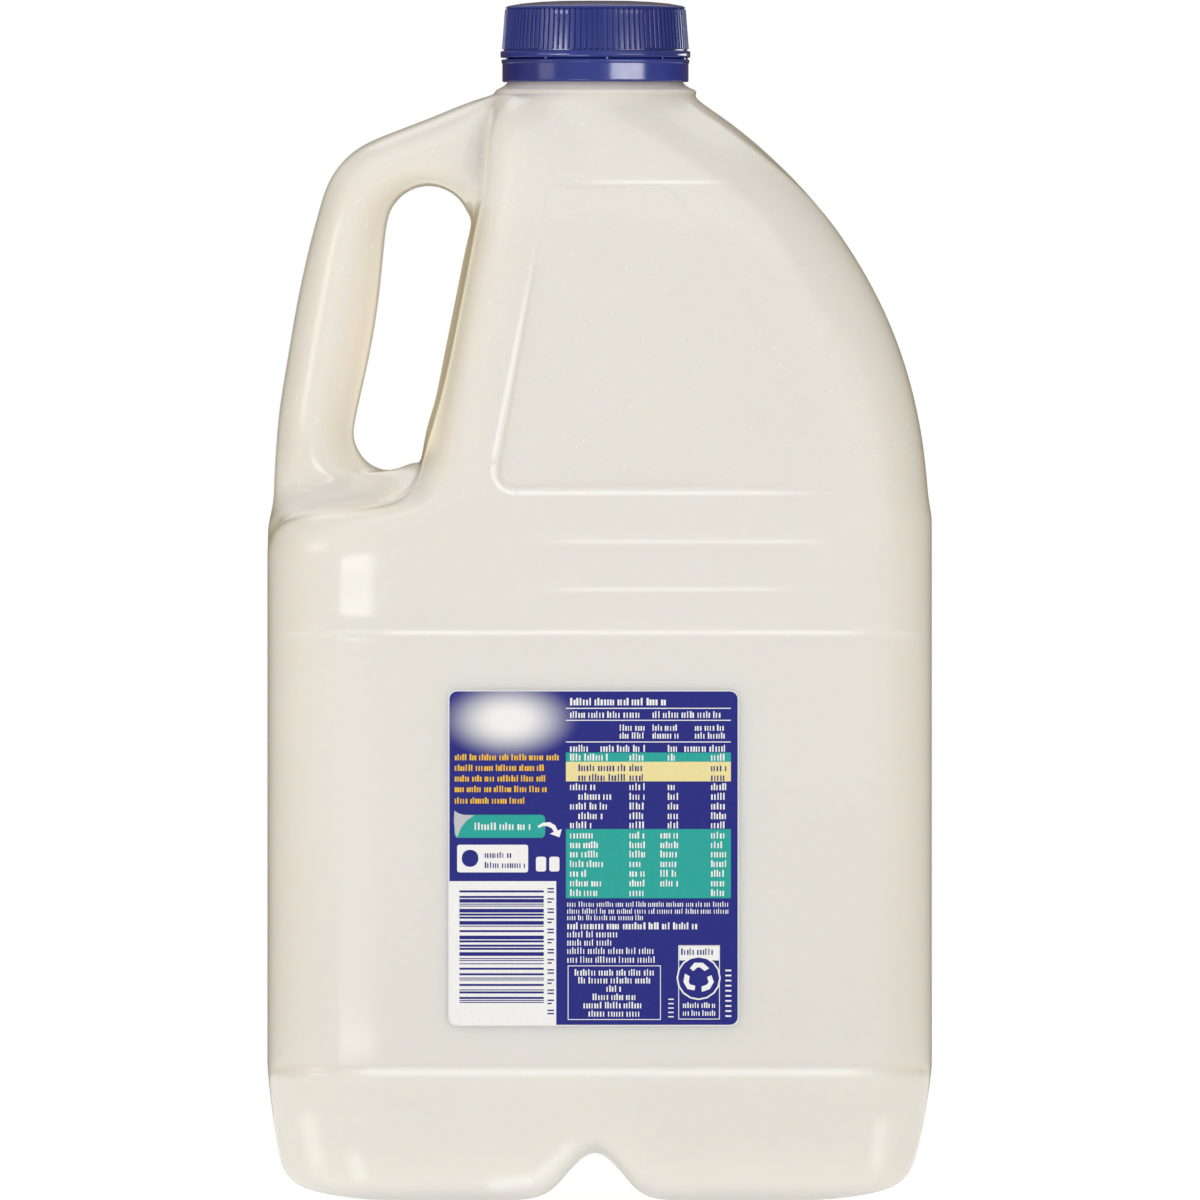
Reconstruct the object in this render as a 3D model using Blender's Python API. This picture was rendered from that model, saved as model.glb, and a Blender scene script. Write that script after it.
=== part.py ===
"""Plastic milk jug with a side handle, a ribbed screw cap, a tamper band and two labels.

Lengths are written in millimetres and turned into metres where meshes are made.
The jug stands on Z = 0, its handle points to -X and its parting plane is Y = 0.
"""
import math

import bmesh
import bpy

MM = 0.001

# Driving sizes of the jug
HALF_WIDTH = 72.2
HALF_DEPTH = 57.7
SHOULDER_START = 140.0
FLANGE_Z = 241.4
NECK_X = -0.9
FLANGE_RADIUS = 21.9
NECK_RADIUS = 18.4
FINISH_TOP = 256.5
LEFT_CORNER, RIGHT_CORNER = 22.0, 17.0
UPPER_CORNER, TOP_CORNER = 10.5, 7.0
WALL_DRAFT, TOP_DRAFT = 1.8, 1.4

# Handle and its web
GRIP_HALF_DEPTH = 14.2
GRIP_SWELL = 0.7
WEB_HALF_DEPTH = 15.0
LEDGE_Z, LEDGE_FOOT = 151.5, 143.9
WEB_FLARE = 0.5
BODY_FOOT = 162.5

# The ledge's rows: share of the way inward beside and in the web, rise above the ledge beside
# and in the web, height at the left front corner, height along the front
LEDGE_PROFILE = ((0.0, 0.0, -7.0, -5.0, 141.5, 147.0), (0.08, 0.01, -2.9, -2.4, 143.4, 148.4),
                 (0.27, 0.3, -0.4, 0.0, 146.3, 149.8), (0.66, 0.7, 0.0, 0.0, 149.6, 151.8),
                 (0.96, 1.0, 1.9, 0.8, 153.6, 154.1))

# Label panel, stepped back from the base band and the shoulder
LABEL_PANEL = (28.1, 123.1)
PANEL_STEPS = (1.2, 0.7, 0.45)
STEP_LINES = (123.1, 132.5, 142.9)

# Sunk panel of the shoulder
UPPER_PANEL_SINK = 0.8
UPPER_PANEL_RIM = 1.6
UPPER_PANEL_TOP, UPPER_PANEL_BOTTOM = 221.2, 154.1

# Bell-shaped channel under the base
CHANNEL_X, CHANNEL_HEIGHT = -0.85, 10.4
CHANNEL_LEFT_SPREAD, CHANNEL_RIGHT_SPREAD = 7.6, 7.1
BASE_TAPER_TOP = 30.0
LEFT_TAPER, RIGHT_TAPER = 4.2, 5.5
FOOT_ROUND, FOOT_FADE = 18.0, 1.8

# Cap and tamper band
CAP_RADIUS, RIM_RADIUS = 20.4, 20.7
CAP_TOP_RADIUS = 19.7
CAP_TOP, RIB_TOP, RIB_BOTTOM, CAP_BOTTOM = 261.2, 259.2, 250.1, 248.9
RIB_COUNT, RIB_DEPTH = 100, 0.45
BAND_TOP, BAND_BOTTOM = 248.0, 243.4
BAND_RADIUS, BAND_BORE = 20.3, 19.2

# Labels
LABEL_WIDTH, LABEL_HEIGHT, LABEL_THICK = 63.0, 72.8, 0.3
LABEL_CENTRE_X, LABEL_CENTRE_Z, LABEL_CORNER = -1.3, 74.5, 2.0
TOUCH_GAP = 0.3

# Columns of the jug's cage, from the left parting line round the front to the right one
SIDE_COLUMNS = 9
FRONT_COLUMNS = (-22.0, -14.0, -9.6, -5.2, -0.85, 3.5, 7.9, 12.3, 19.0, 31.0, 43.0)
FIXED_FRONT = 19.0
PANEL_COLUMN = SIDE_COLUMNS + 1
COLUMNS = 2 * SIDE_COLUMNS + 1 + len(FRONT_COLUMNS)
WEB_COLUMN = 2
CORNER_START = 4
PATCH_COLUMN = 6


def lerp(a, b, t):
    return a + (b - a) * t


def mix(p, q, t):
    return tuple(lerp(a, b, t) for a, b in zip(p, q))


def ease(t):
    t = max(0.0, min(1.0, t))
    return t * t * (3 - 2 * t)


def right_edge(z):
    """The right silhouette: upright, then a full superelliptic shoulder up to the flange."""
    rise = max(0.0, z - SHOULDER_START) / 137.5
    return HALF_WIDTH - 0.5 * ease((z - 120.0) / 30.0) - 220.2 * (1 - (1 - rise ** 2.4) ** (1 / 2.4))


def half_depth(z):
    """Half the depth of the body, elliptic above the label panel."""
    rise = max(0.0, z - SHOULDER_START) / 125.0
    return HALF_DEPTH - 87.5 * (1 - math.sqrt(1 - rise ** 2))


def body_left(z):
    """The wall on the body side of the handle hole, slanted and nearly upright under the neck."""
    over = max(0.0, z - UPPER_PANEL_TOP)
    return -37.6 + 0.2 * (z - over - 164.7) + 0.07 * over


def panel_left(z):
    """The slanted left edge of the shoulder's sunk panel."""
    return lerp(-22.8, -15.1, (z - 159.0) / 43.0)


def channel(x):
    """Height of the bell-shaped channel across the base."""
    spread = CHANNEL_LEFT_SPREAD if x < CHANNEL_X else CHANNEL_RIGHT_SPREAD
    height = CHANNEL_HEIGHT * math.exp(-((x - CHANNEL_X) / spread) ** 2)
    return height if height > 0.03 else 0.0


def ledge(x, y):
    """Height of the nearly level ledge under the handle hole."""
    return LEDGE_Z + 0.06 * (x + 55.0) - 0.04 * max(0.0, abs(y) - WEB_HALF_DEPTH)


def quarter(edge, inward, depth, radius):
    """Points from the parting plane along a side wall and round its corner."""
    wall = depth - radius
    length = wall + radius * math.pi / 2
    web = min(WEB_HALF_DEPTH, 0.3 * length)
    start = max(wall, lerp(web, length, 0.3))
    runs = [0.0, web / 2, web, (web + start) / 2]
    runs += [lerp(start, length, k / 4) for k in range(5)]
    points = []
    for run in runs:
        if run <= wall:
            points.append((edge, -run))
        else:
            turn = (run - wall) / radius
            across = radius * (1 - math.cos(turn))
            points.append((edge + inward * across, -wall - radius * math.sin(turn)))
    return points


def outline(left, right, depth, left_radius, right_radius, panel_x, fixed, draft=0.0):
    """Half of one level section; its front columns are spread evenly beyond the fixed ones."""
    left_part = [(x - draft * y / depth, y) for x, y in quarter(left, 1, depth, left_radius)]
    right_part = quarter(right, -1, depth, right_radius)
    first, last = left_part[-1][0], right_part[-1][0]
    front = [(first + panel_x) / 2]
    for x in FRONT_COLUMNS:
        share = max(0.0, x - fixed) / (HALF_WIDTH - RIGHT_CORNER - fixed)
        kept = panel_x + min(x, fixed) - FRONT_COLUMNS[0]
        front.append(lerp(kept, last, share))
    return left_part + [(x, -depth) for x in front] + right_part[::-1]


def lower_outline(z, step=0.0):
    """Section of the body below the ledge, stepped in at the front by a panel's depth."""
    taper = max(0.0, 1 - z / BASE_TAPER_TOP) ** 1.3
    foot = FOOT_ROUND * math.exp(-z / FOOT_FADE)
    left, right = LEFT_TAPER * taper + foot, RIGHT_TAPER * taper + foot
    left_radius = max(9.0, LEFT_CORNER - 0.5 * left)
    right_radius = max(9.0, RIGHT_CORNER - 0.4 * right)
    return outline(-HALF_WIDTH + left, HALF_WIDTH - right, HALF_DEPTH - right - step,
                   left_radius, right_radius, FRONT_COLUMNS[0], FIXED_FRONT)


def upper_outline(z):
    """Section of the body beside the handle hole, up to the shoulder."""
    depth = half_depth(z)
    left_radius = lerp(UPPER_CORNER, TOP_CORNER, ease((z - 155.0) / 42.0))
    draft = WALL_DRAFT * ease((z - 150.0) / 35.0) - (WALL_DRAFT - TOP_DRAFT) * ease((z - 190.0) / 31.0)
    right_radius = min(depth, RIGHT_CORNER + 6.0 * ease((z - 160.0) / 60.0))
    return outline(body_left(z), right_edge(z), depth, left_radius, right_radius,
                   panel_left(z), FRONT_COLUMNS[0], draft)


def polar_angles():
    """The angle of each column round the neck, read from the shoulder's section."""
    points = upper_outline(UPPER_PANEL_TOP)
    middle = (points[0][0] + points[-1][0]) / 2
    return [math.atan2(-y, middle - x) for x, y in points]


ANGLES = polar_angles()


def round_outline(left, right, depth):
    """Section near the neck: an ellipse with the columns at fixed angles."""
    middle, half = (left + right) / 2, (right - left) / 2
    return [(middle - half * math.cos(a), -depth * math.sin(a)) for a in ANGLES]


def neck_outline(radius):
    return round_outline(NECK_X - radius, NECK_X + radius, radius)


def shoulder_outline(z):
    """Section above the handle hole, from the rounded rectangle to the neck's circle."""
    early, late = (ease((z - start) / (FLANGE_Z - start)) for start in (216.0, 233.0))
    circle = round_outline(body_left(z), right_edge(z), half_depth(z))
    row = []
    for c, (p, q) in enumerate(zip(upper_outline(z), circle)):
        row.append(mix(p, q, lerp(late, early, ease((c - SIDE_COLUMNS + 1) / 6.0))))
    return row


def base_rows():
    """Rows from the foot up to the label panel, lifted over the channel."""
    rows = []
    for z in (0.0, 0.6, 1.8, 3.8, 7.0, 12.0, 18.5):
        lift = (1 - z / BASE_TAPER_TOP) ** 1.5
        rows.append([(x, y, z + channel(x) * lift) for x, y in lower_outline(z)])
    return rows


def front_weight(column):
    """0 up to the left front corner, rising to 1 a few columns beyond it."""
    return ease((column - SIDE_COLUMNS + 1) / 4.0)


def panel_rows():
    """Rows of the label panel and of the stepped lines above it."""
    rows = []
    low, high = LABEL_PANEL
    for z, step in ((low - 1.0, 0.0), (low + 0.9, PANEL_STEPS[0]), (50.0, PANEL_STEPS[0]),
                    (75.0, PANEL_STEPS[0]), (100.0, PANEL_STEPS[0]), (high - 1.2, PANEL_STEPS[0]),
                    (high + 0.9, PANEL_STEPS[1]), (STEP_LINES[1] - 1.0, PANEL_STEPS[1]),
                    (STEP_LINES[1] + 1.0, PANEL_STEPS[2]), (STEP_LINES[2] - 1.0, PANEL_STEPS[2]),
                    (STEP_LINES[2] + 1.0, 0.0)):
        drop = 0.45 * max(0.0, z - 129.0)
        rows.append([(x, y, z - drop * (1 - front_weight(c)))
                     for c, (x, y) in enumerate(lower_outline(z, step))])
    return rows


def ledge_rows():
    """Five rows from the ledge's outer edge to the foot of the slanted wall."""
    outer = lower_outline(LEDGE_FOOT)
    inner = upper_outline(UPPER_PANEL_BOTTOM)
    rows = []
    for share, web_share, rise, web_rise, corner, front in LEDGE_PROFILE:
        row = []
        for c, (p, q) in enumerate(zip(outer, inner)):
            in_web = c <= WEB_COLUMN
            x, y = mix(p, q, web_share if in_web else share)
            if c <= CORNER_START:
                lift = climb(y) if web_share == 1.0 else 0.0
                z = ledge(x, y) + (web_rise if in_web else rise) + lift
                x += 0.12 * lift
                shelf = z
                if in_web:
                    y *= 1 + WEB_FLARE * ease((share - 0.4) / 0.6)
            elif c < SIDE_COLUMNS:
                turn = (c - CORNER_START) / (SIDE_COLUMNS - 1 - CORNER_START)
                z = lerp(shelf, corner, 1 - math.cos(turn * math.pi / 2))
            else:
                z = lerp(corner, front, front_weight(c))
            row.append((x, y, z))
        rows.append(row)
    return rows


def climb(y):
    """How much higher the wall's foot lies in the hole than beside the web."""
    return 8.0 * max(0.0, 1 - abs(y) / WEB_HALF_DEPTH)


def body_rows():
    """Rows beside the handle hole."""
    rows = []
    for z, follow in ((BODY_FOOT, 0.7), (171.5, 0.3), (181.0, 0.0), (191.0, 0.0), (201.0, 0.0),
                      (208.0, 0.0), (213.0, 0.0)):
        rows.append(lifted(upper_outline(z), z, follow, z == BODY_FOOT))
    return rows


def lifted(points, z, follow, foot):
    """A level section whose points beside the hole climb, and on the foot round into the ledge."""
    row = []
    for c, (x, y) in enumerate(points):
        rise = follow * climb(y) if c <= WEB_COLUMN else 0.0
        side = min(1.0, (SIDE_COLUMNS - 1 - c) / 3.0) if foot and c < SIDE_COLUMNS else 0.0
        if c > WEB_COLUMN:
            rise = -2.5 * side
        row.append((x + 0.2 * rise - 0.6 * side, y, z + rise))
    return row


def neck_rows():
    """Rows from the top of the sunk panel to the top of the hidden neck."""
    rows = []
    for z in (UPPER_PANEL_TOP, 233.0, FLANGE_Z - 1.4):
        rows.append([(x, y, z) for x, y in shoulder_outline(z)])
    for z, radius in ((FLANGE_Z - 0.5, FLANGE_RADIUS), (FLANGE_Z, FLANGE_RADIUS - 0.2),
                      (243.0, NECK_RADIUS), (FINISH_TOP - 1.0, NECK_RADIUS - 0.4),
                      (FINISH_TOP, NECK_RADIUS - 1.4)):
        rows.append([(x, y, z) for x, y in neck_outline(radius)])
    rows.append([(x, 0.0, z) for x, _, z in rows[-1]])
    return rows


def base_patch(rim):
    """The underside: a grid between the rim's front columns and its two side walls."""
    last = COLUMNS - 1
    front = rim[PATCH_COLUMN:COLUMNS - PATCH_COLUMN]
    width = front[-1][0] - front[0][0]
    rows = []
    for k in range(PATCH_COLUMN):
        left, right = rim[k], rim[last - k]
        row = [left]
        for x, y, z in front[1:-1]:
            share = (x - front[0][0]) / width
            px, py, _ = mix(left, right, share)
            row.append((px, py, channel(px)))
        row.append(right)
        rows.append(row)
    rows.append(list(front))
    return rows


# The handle's outer edge, one point for each of its rings
HANDLE_EDGE = ((-71.2, 151.5), (-70.8, 156.5), (-70.5, 161.5), (-70.1, 167.0), (-69.5, 173.0),
               (-67.9, 182.7), (-65.9, 194.8), (-63.1, 207.5), (-61.3, 214.2), (-59.5, 220.2),
               (-56.9, 224.8), (-52.3, 229.2), (-44.5, 232.5), (-36.5, 235.6), (-28.8, 238.8))
RING_SEGMENTS = 7

# The slanted hole behind the handle, an arc above and one below
HOLE_TOP_CENTRE, HOLE_TOP_RADIUS = (-37.2, 211.6), 9.2
HOLE_LOW_CENTRE, HOLE_LOW_RADIUS = (-45.2, 166.9), 8.4


def around(centre, radius, degrees):
    turn = math.radians(degrees)
    return (centre[0] + radius * math.cos(turn), centre[1] + radius * math.sin(turn))


def hole_edge():
    """Points round the hole from its lower right, along its left side, to its upper right."""
    low = [around(HOLE_LOW_CENTRE, HOLE_LOW_RADIUS, a) for a in (-50, -90, -130, -165, -188)]
    top = [around(HOLE_TOP_CENTRE, HOLE_TOP_RADIUS, a) for a in (172, 148, 124, 100, 76, 52, 34, 18)]
    side = [mix(low[-1], top[0], share) for share in (1 / 3, 2 / 3)]
    return low + [(x + GRIP_SWELL, z) for x, z in side] + top


def handle_ring(outer, inner):
    """Half of one section of the handle, from the outer point round the front to the inner one."""
    half_x, half_z = (outer[0] - inner[0]) / 2, (outer[1] - inner[1]) / 2
    mid_x, mid_z = (outer[0] + inner[0]) / 2, (outer[1] + inner[1]) / 2
    points = []
    for k in range(RING_SEGMENTS + 1):
        turn = math.pi * k / RING_SEGMENTS
        points.append((mid_x + half_x * math.cos(turn), -GRIP_HALF_DEPTH * math.sin(turn) ** 0.85,
                       mid_z + half_z * math.cos(turn)))
    return points


def mouth(grid, first):
    """The border of the handle's opening in the wall, from its lowest or outermost point."""
    low, high = grid[first], grid[first + 3]
    border = [low[0], low[1], low[WEB_COLUMN]]
    border += [grid[first + 1][WEB_COLUMN], grid[first + 2][WEB_COLUMN]]
    return border + [high[WEB_COLUMN], high[1], high[0]]


def panel_fade(x, z):
    """How deep the shoulder's panel is cut: nothing at its right border and upper left corner."""
    depth = half_depth(z)
    border = right_edge(z) - min(depth, RIGHT_CORNER + 6.0 * ease((z - 160.0) / 60.0))
    corner = math.hypot((x - panel_left(UPPER_PANEL_TOP)) / 10.0, (z - UPPER_PANEL_TOP) / 14.0)
    return (1 - ease((x - border + 9.0) / 8.0)) * ease(corner)


def sink_upper_panel(bm, faces):
    """Sets the shoulder's panel back behind a narrow rim that fades to the right."""
    bmesh.ops.inset_region(bm, faces=faces, thickness=UPPER_PANEL_RIM * MM, use_even_offset=True)
    for vert in {v for f in faces for v in f.verts}:
        vert.co.y += UPPER_PANEL_SINK * panel_fade(vert.co.x / MM, vert.co.z / MM) * MM


def add_grid(bm, points, skip=()):
    """Adds a grid of faces over rows of points and returns the faces by row and column."""
    rows = [[bm.verts.new([v * MM for v in p]) for p in row] for row in points]
    faces = {}
    for r in range(len(rows) - 1):
        for c in range(len(rows[0]) - 1):
            if (r, c) not in skip:
                corners = (rows[r][c], rows[r][c + 1], rows[r + 1][c + 1], rows[r + 1][c])
                faces[r, c] = bm.faces.new(corners)
    return faces


def jug_mesh():
    """Front half of the jug: wall, underside and handle as three joined grids."""
    base, panel, shelf, body, neck = base_rows(), panel_rows(), ledge_rows(), body_rows(), neck_rows()
    wall = base + panel + shelf + body + neck
    low_mouth = len(base) + len(panel) + 1
    top_mouth = low_mouth + len(shelf) + len(body) - 2
    openings = {(r, c) for first in (low_mouth, top_mouth) for r in range(first, first + 3)
                for c in range(WEB_COLUMN)}

    bm = bmesh.new()
    wall_faces = add_grid(bm, wall, openings)
    panel_region = [face for (r, c), face in wall_faces.items()
                    if low_mouth + 3 <= r <= top_mouth and PANEL_COLUMN <= c < COLUMNS - SIDE_COLUMNS]
    sink_upper_panel(bm, panel_region)
    add_grid(bm, base_patch(wall[0]))

    rings = [mouth(wall, low_mouth)]
    rings += [handle_ring(outer, inner) for outer, inner in zip(HANDLE_EDGE, hole_edge())]
    rings.append(mouth(wall, top_mouth)[::-1])
    add_grid(bm, rings)
    bmesh.ops.remove_doubles(bm, verts=bm.verts, dist=0.02 * MM)
    spare = [v for v in bm.verts if not v.link_faces]
    bmesh.ops.delete(bm, geom=spare, context="VERTS")
    bmesh.ops.recalc_face_normals(bm, faces=bm.faces)
    return bm


def ring_wall(bm, profile, count, rib_rows=(), rib=0.0):
    """A body of revolution round the neck, whose named rows alternate between rib and groove."""
    rows = []
    for index, (radius, z) in enumerate(profile):
        row = []
        for k in range(count):
            sink = rib if index in rib_rows and k % 2 else 0.0
            angle = 2 * math.pi * k / count
            x, y = NECK_X + (radius - sink) * math.cos(angle), (radius - sink) * math.sin(angle)
            row.append(bm.verts.new((x * MM, y * MM, z * MM)))
        rows.append(row)
    for low, high in zip(rows, rows[1:]):
        for k in range(count):
            bm.faces.new((low[k], low[(k + 1) % count], high[(k + 1) % count], high[k]))
    return rows


def cap_mesh():
    """Hollow screw cap: ribbed skirt, smooth lower rim, slightly domed top."""
    bm = bmesh.new()
    bore = NECK_RADIUS + 0.6
    profile = ((bore, CAP_TOP - 2.2), (bore, CAP_BOTTOM), (RIM_RADIUS - 0.3, CAP_BOTTOM),
               (RIM_RADIUS, CAP_BOTTOM + 0.4), (RIM_RADIUS, RIB_BOTTOM), (CAP_RADIUS, RIB_BOTTOM + 0.3),
               (CAP_TOP_RADIUS, RIB_TOP), (CAP_TOP_RADIUS - 0.7, RIB_TOP + 0.5),
               (CAP_TOP_RADIUS - 2.9, CAP_TOP - 1.0), (6.0, CAP_TOP - 0.1))
    rows = ring_wall(bm, profile, 2 * RIB_COUNT, (5, 6), RIB_DEPTH)
    bm.faces.new(rows[0])
    centre = bm.verts.new((NECK_X * MM, 0.0, CAP_TOP * MM))
    top = rows[-1]
    for k in range(len(top)):
        bm.faces.new((top[k], top[(k + 1) % len(top)], centre))
    bmesh.ops.recalc_face_normals(bm, faces=bm.faces)
    return bm


def band_mesh():
    """Tamper band: a plain ring with a bead along its top edge."""
    bm = bmesh.new()
    profile = ((BAND_BORE, BAND_TOP), (BAND_BORE, BAND_BOTTOM), (BAND_RADIUS - 0.3, BAND_BOTTOM),
               (BAND_RADIUS, BAND_BOTTOM + 0.5), (BAND_RADIUS, BAND_TOP - 0.9),
               (BAND_RADIUS + 0.2, BAND_TOP - 0.6), (BAND_RADIUS + 0.2, BAND_TOP))
    rows = ring_wall(bm, profile, 96)
    for k in range(96):
        bm.faces.new((rows[0][k], rows[0][(k + 1) % 96], rows[-1][(k + 1) % 96], rows[-1][k]))
    bmesh.ops.recalc_face_normals(bm, faces=bm.faces)
    return bm


def label_mesh(side):
    """Thin plate with rounded corners, just off the label panel on one side."""
    bm = bmesh.new()
    inner = HALF_DEPTH - PANEL_STEPS[0] + TOUCH_GAP
    points = []
    for quadrant in range(4):
        for step in range(5):
            angle = math.pi / 2 * (quadrant + step / 4)
            sx = LABEL_WIDTH / 2 - LABEL_CORNER
            sz = LABEL_HEIGHT / 2 - LABEL_CORNER
            cx = sx if quadrant in (0, 3) else -sx
            cz = sz if quadrant in (0, 1) else -sz
            points.append((LABEL_CENTRE_X + cx + LABEL_CORNER * math.cos(angle),
                           LABEL_CENTRE_Z + cz + LABEL_CORNER * math.sin(angle)))
    verts = [bm.verts.new((x * MM, side * inner * MM, z * MM)) for x, z in points]
    face = bm.faces.new(verts)
    grown = bmesh.ops.extrude_face_region(bm, geom=[face])
    moved = [v for v in grown["geom"] if isinstance(v, bmesh.types.BMVert)]
    bmesh.ops.translate(bm, verts=moved, vec=(0.0, side * LABEL_THICK * MM, 0.0))
    bmesh.ops.recalc_face_normals(bm, faces=bm.faces)
    return bm


def material(name, colour, roughness):
    """Principled material of one plain plastic or paper."""
    made = bpy.data.materials.new(name)
    made.use_nodes = True
    shader = made.node_tree.nodes["Principled BSDF"]
    shader.inputs["Base Color"].default_value = (*colour, 1.0)
    shader.inputs["Roughness"].default_value = roughness
    shader.inputs["Metallic"].default_value = 0.0
    return made


def add_object(name, bm, finish):
    """Turns a finished bmesh into one named object with its material."""
    mesh = bpy.data.meshes.new(name)
    bm.to_mesh(mesh)
    bm.free()
    mesh.materials.append(finish)
    mesh.shade_smooth()
    mesh.set_sharp_from_angle(angle=math.radians(35.0))
    item = bpy.data.objects.new(name, mesh)
    bpy.context.scene.collection.objects.link(item)
    return item


def main():
    for old in list(bpy.data.objects):
        bpy.data.objects.remove(old)
    blue = (0.027, 0.031, 0.22)
    jug = add_object("jug", jug_mesh(), material("milky_plastic", (0.79, 0.76, 0.68), 0.35))
    mirror = jug.modifiers.new("other_half", "MIRROR")
    mirror.use_axis = (False, True, False)
    mirror.use_clip = True
    mirror.merge_threshold = 0.00002
    add_object("cap", cap_mesh(), material("cap_plastic", blue, 0.3))
    add_object("tamper_band", band_mesh(), material("band_plastic", blue, 0.3))
    print_ink = material("label_print", blue, 0.4)
    add_object("label_back", label_mesh(-1), print_ink)
    add_object("label_front", label_mesh(1), print_ink)


main()
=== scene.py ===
"""Looks of the milk jug: a blow-moulded body with a side handle, a ribbed screw cap, a tamper
band and two printed labels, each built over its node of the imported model.

Sizes are in millimetres and become metres where a mesh is made. The jug stands on Z = 0, its
handle points to -X, its parting plane is Y = 0 and the camera looks along +Y.
"""

import logging
import math
import random
from collections.abc import Callable, Iterator, Sequence
from contextlib import contextmanager
from dataclasses import dataclass, field
from enum import Enum

import bmesh
import bpy
from mathutils import Matrix, Vector


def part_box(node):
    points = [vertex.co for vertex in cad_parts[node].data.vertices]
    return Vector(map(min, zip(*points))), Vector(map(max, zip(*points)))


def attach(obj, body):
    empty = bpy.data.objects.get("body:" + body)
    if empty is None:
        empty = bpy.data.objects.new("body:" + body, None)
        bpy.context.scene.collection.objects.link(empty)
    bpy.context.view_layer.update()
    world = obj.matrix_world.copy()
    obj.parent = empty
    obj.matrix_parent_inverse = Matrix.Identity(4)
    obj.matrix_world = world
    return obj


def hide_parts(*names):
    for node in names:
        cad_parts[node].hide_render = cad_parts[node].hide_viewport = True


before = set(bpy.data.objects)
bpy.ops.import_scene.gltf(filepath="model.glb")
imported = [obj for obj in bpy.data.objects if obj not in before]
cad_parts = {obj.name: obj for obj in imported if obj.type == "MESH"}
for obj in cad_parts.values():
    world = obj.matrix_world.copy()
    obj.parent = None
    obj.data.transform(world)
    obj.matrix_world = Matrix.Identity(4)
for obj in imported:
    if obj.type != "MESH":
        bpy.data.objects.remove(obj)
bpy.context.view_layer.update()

MM = 0.001
NECK_X = -0.9
WELD = 0.01 * MM

Flat = tuple[float, float]
Span = tuple[Flat, Flat]
Point = tuple[float, float, float]
Colour = tuple[float, float, float]
Thing = bpy.types.Object
Box = tuple[float, float, float, float]
Finish = bpy.types.Material
Node = bpy.types.Node
Socket = bpy.types.NodeSocket

log = logging.getLogger("milk_jug")


def lerp(a: float, b: float, t: float) -> float:
    """The value at share t of the way from a to b."""
    return a + (b - a) * t


def mix(p: Sequence[float], q: Sequence[float], t: float) -> tuple[float, ...]:
    """The point at share t of the way from p to q."""
    return tuple(lerp(a, b, t) for a, b in zip(p, q))


def ease(value: float, start: float = 0.0, end: float = 1.0) -> float:
    """A smooth step from 0 at start to 1 at end, held beyond them."""
    t = max(0.0, min(1.0, (value - start) / (end - start)))
    return t * t * (3 - 2 * t)


def steps_from(radius: float, height: float, *steps: Flat) -> list[Flat]:
    """Places of a profile, given as small steps from one radius and height."""
    return [(radius + outward, height + upward) for outward, upward in steps]


def on_axis(height: float, radius: float = 0.0) -> Point:
    """A place in metres at a height, on the neck's axis or beside it towards +X."""
    return ((NECK_X + radius) * MM, 0.0, height * MM)


class Part(Enum):
    """What an edit-mode selection is made of."""

    POINT = "VERT"
    EDGE = "EDGE"
    FACE = "FACE"


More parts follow.
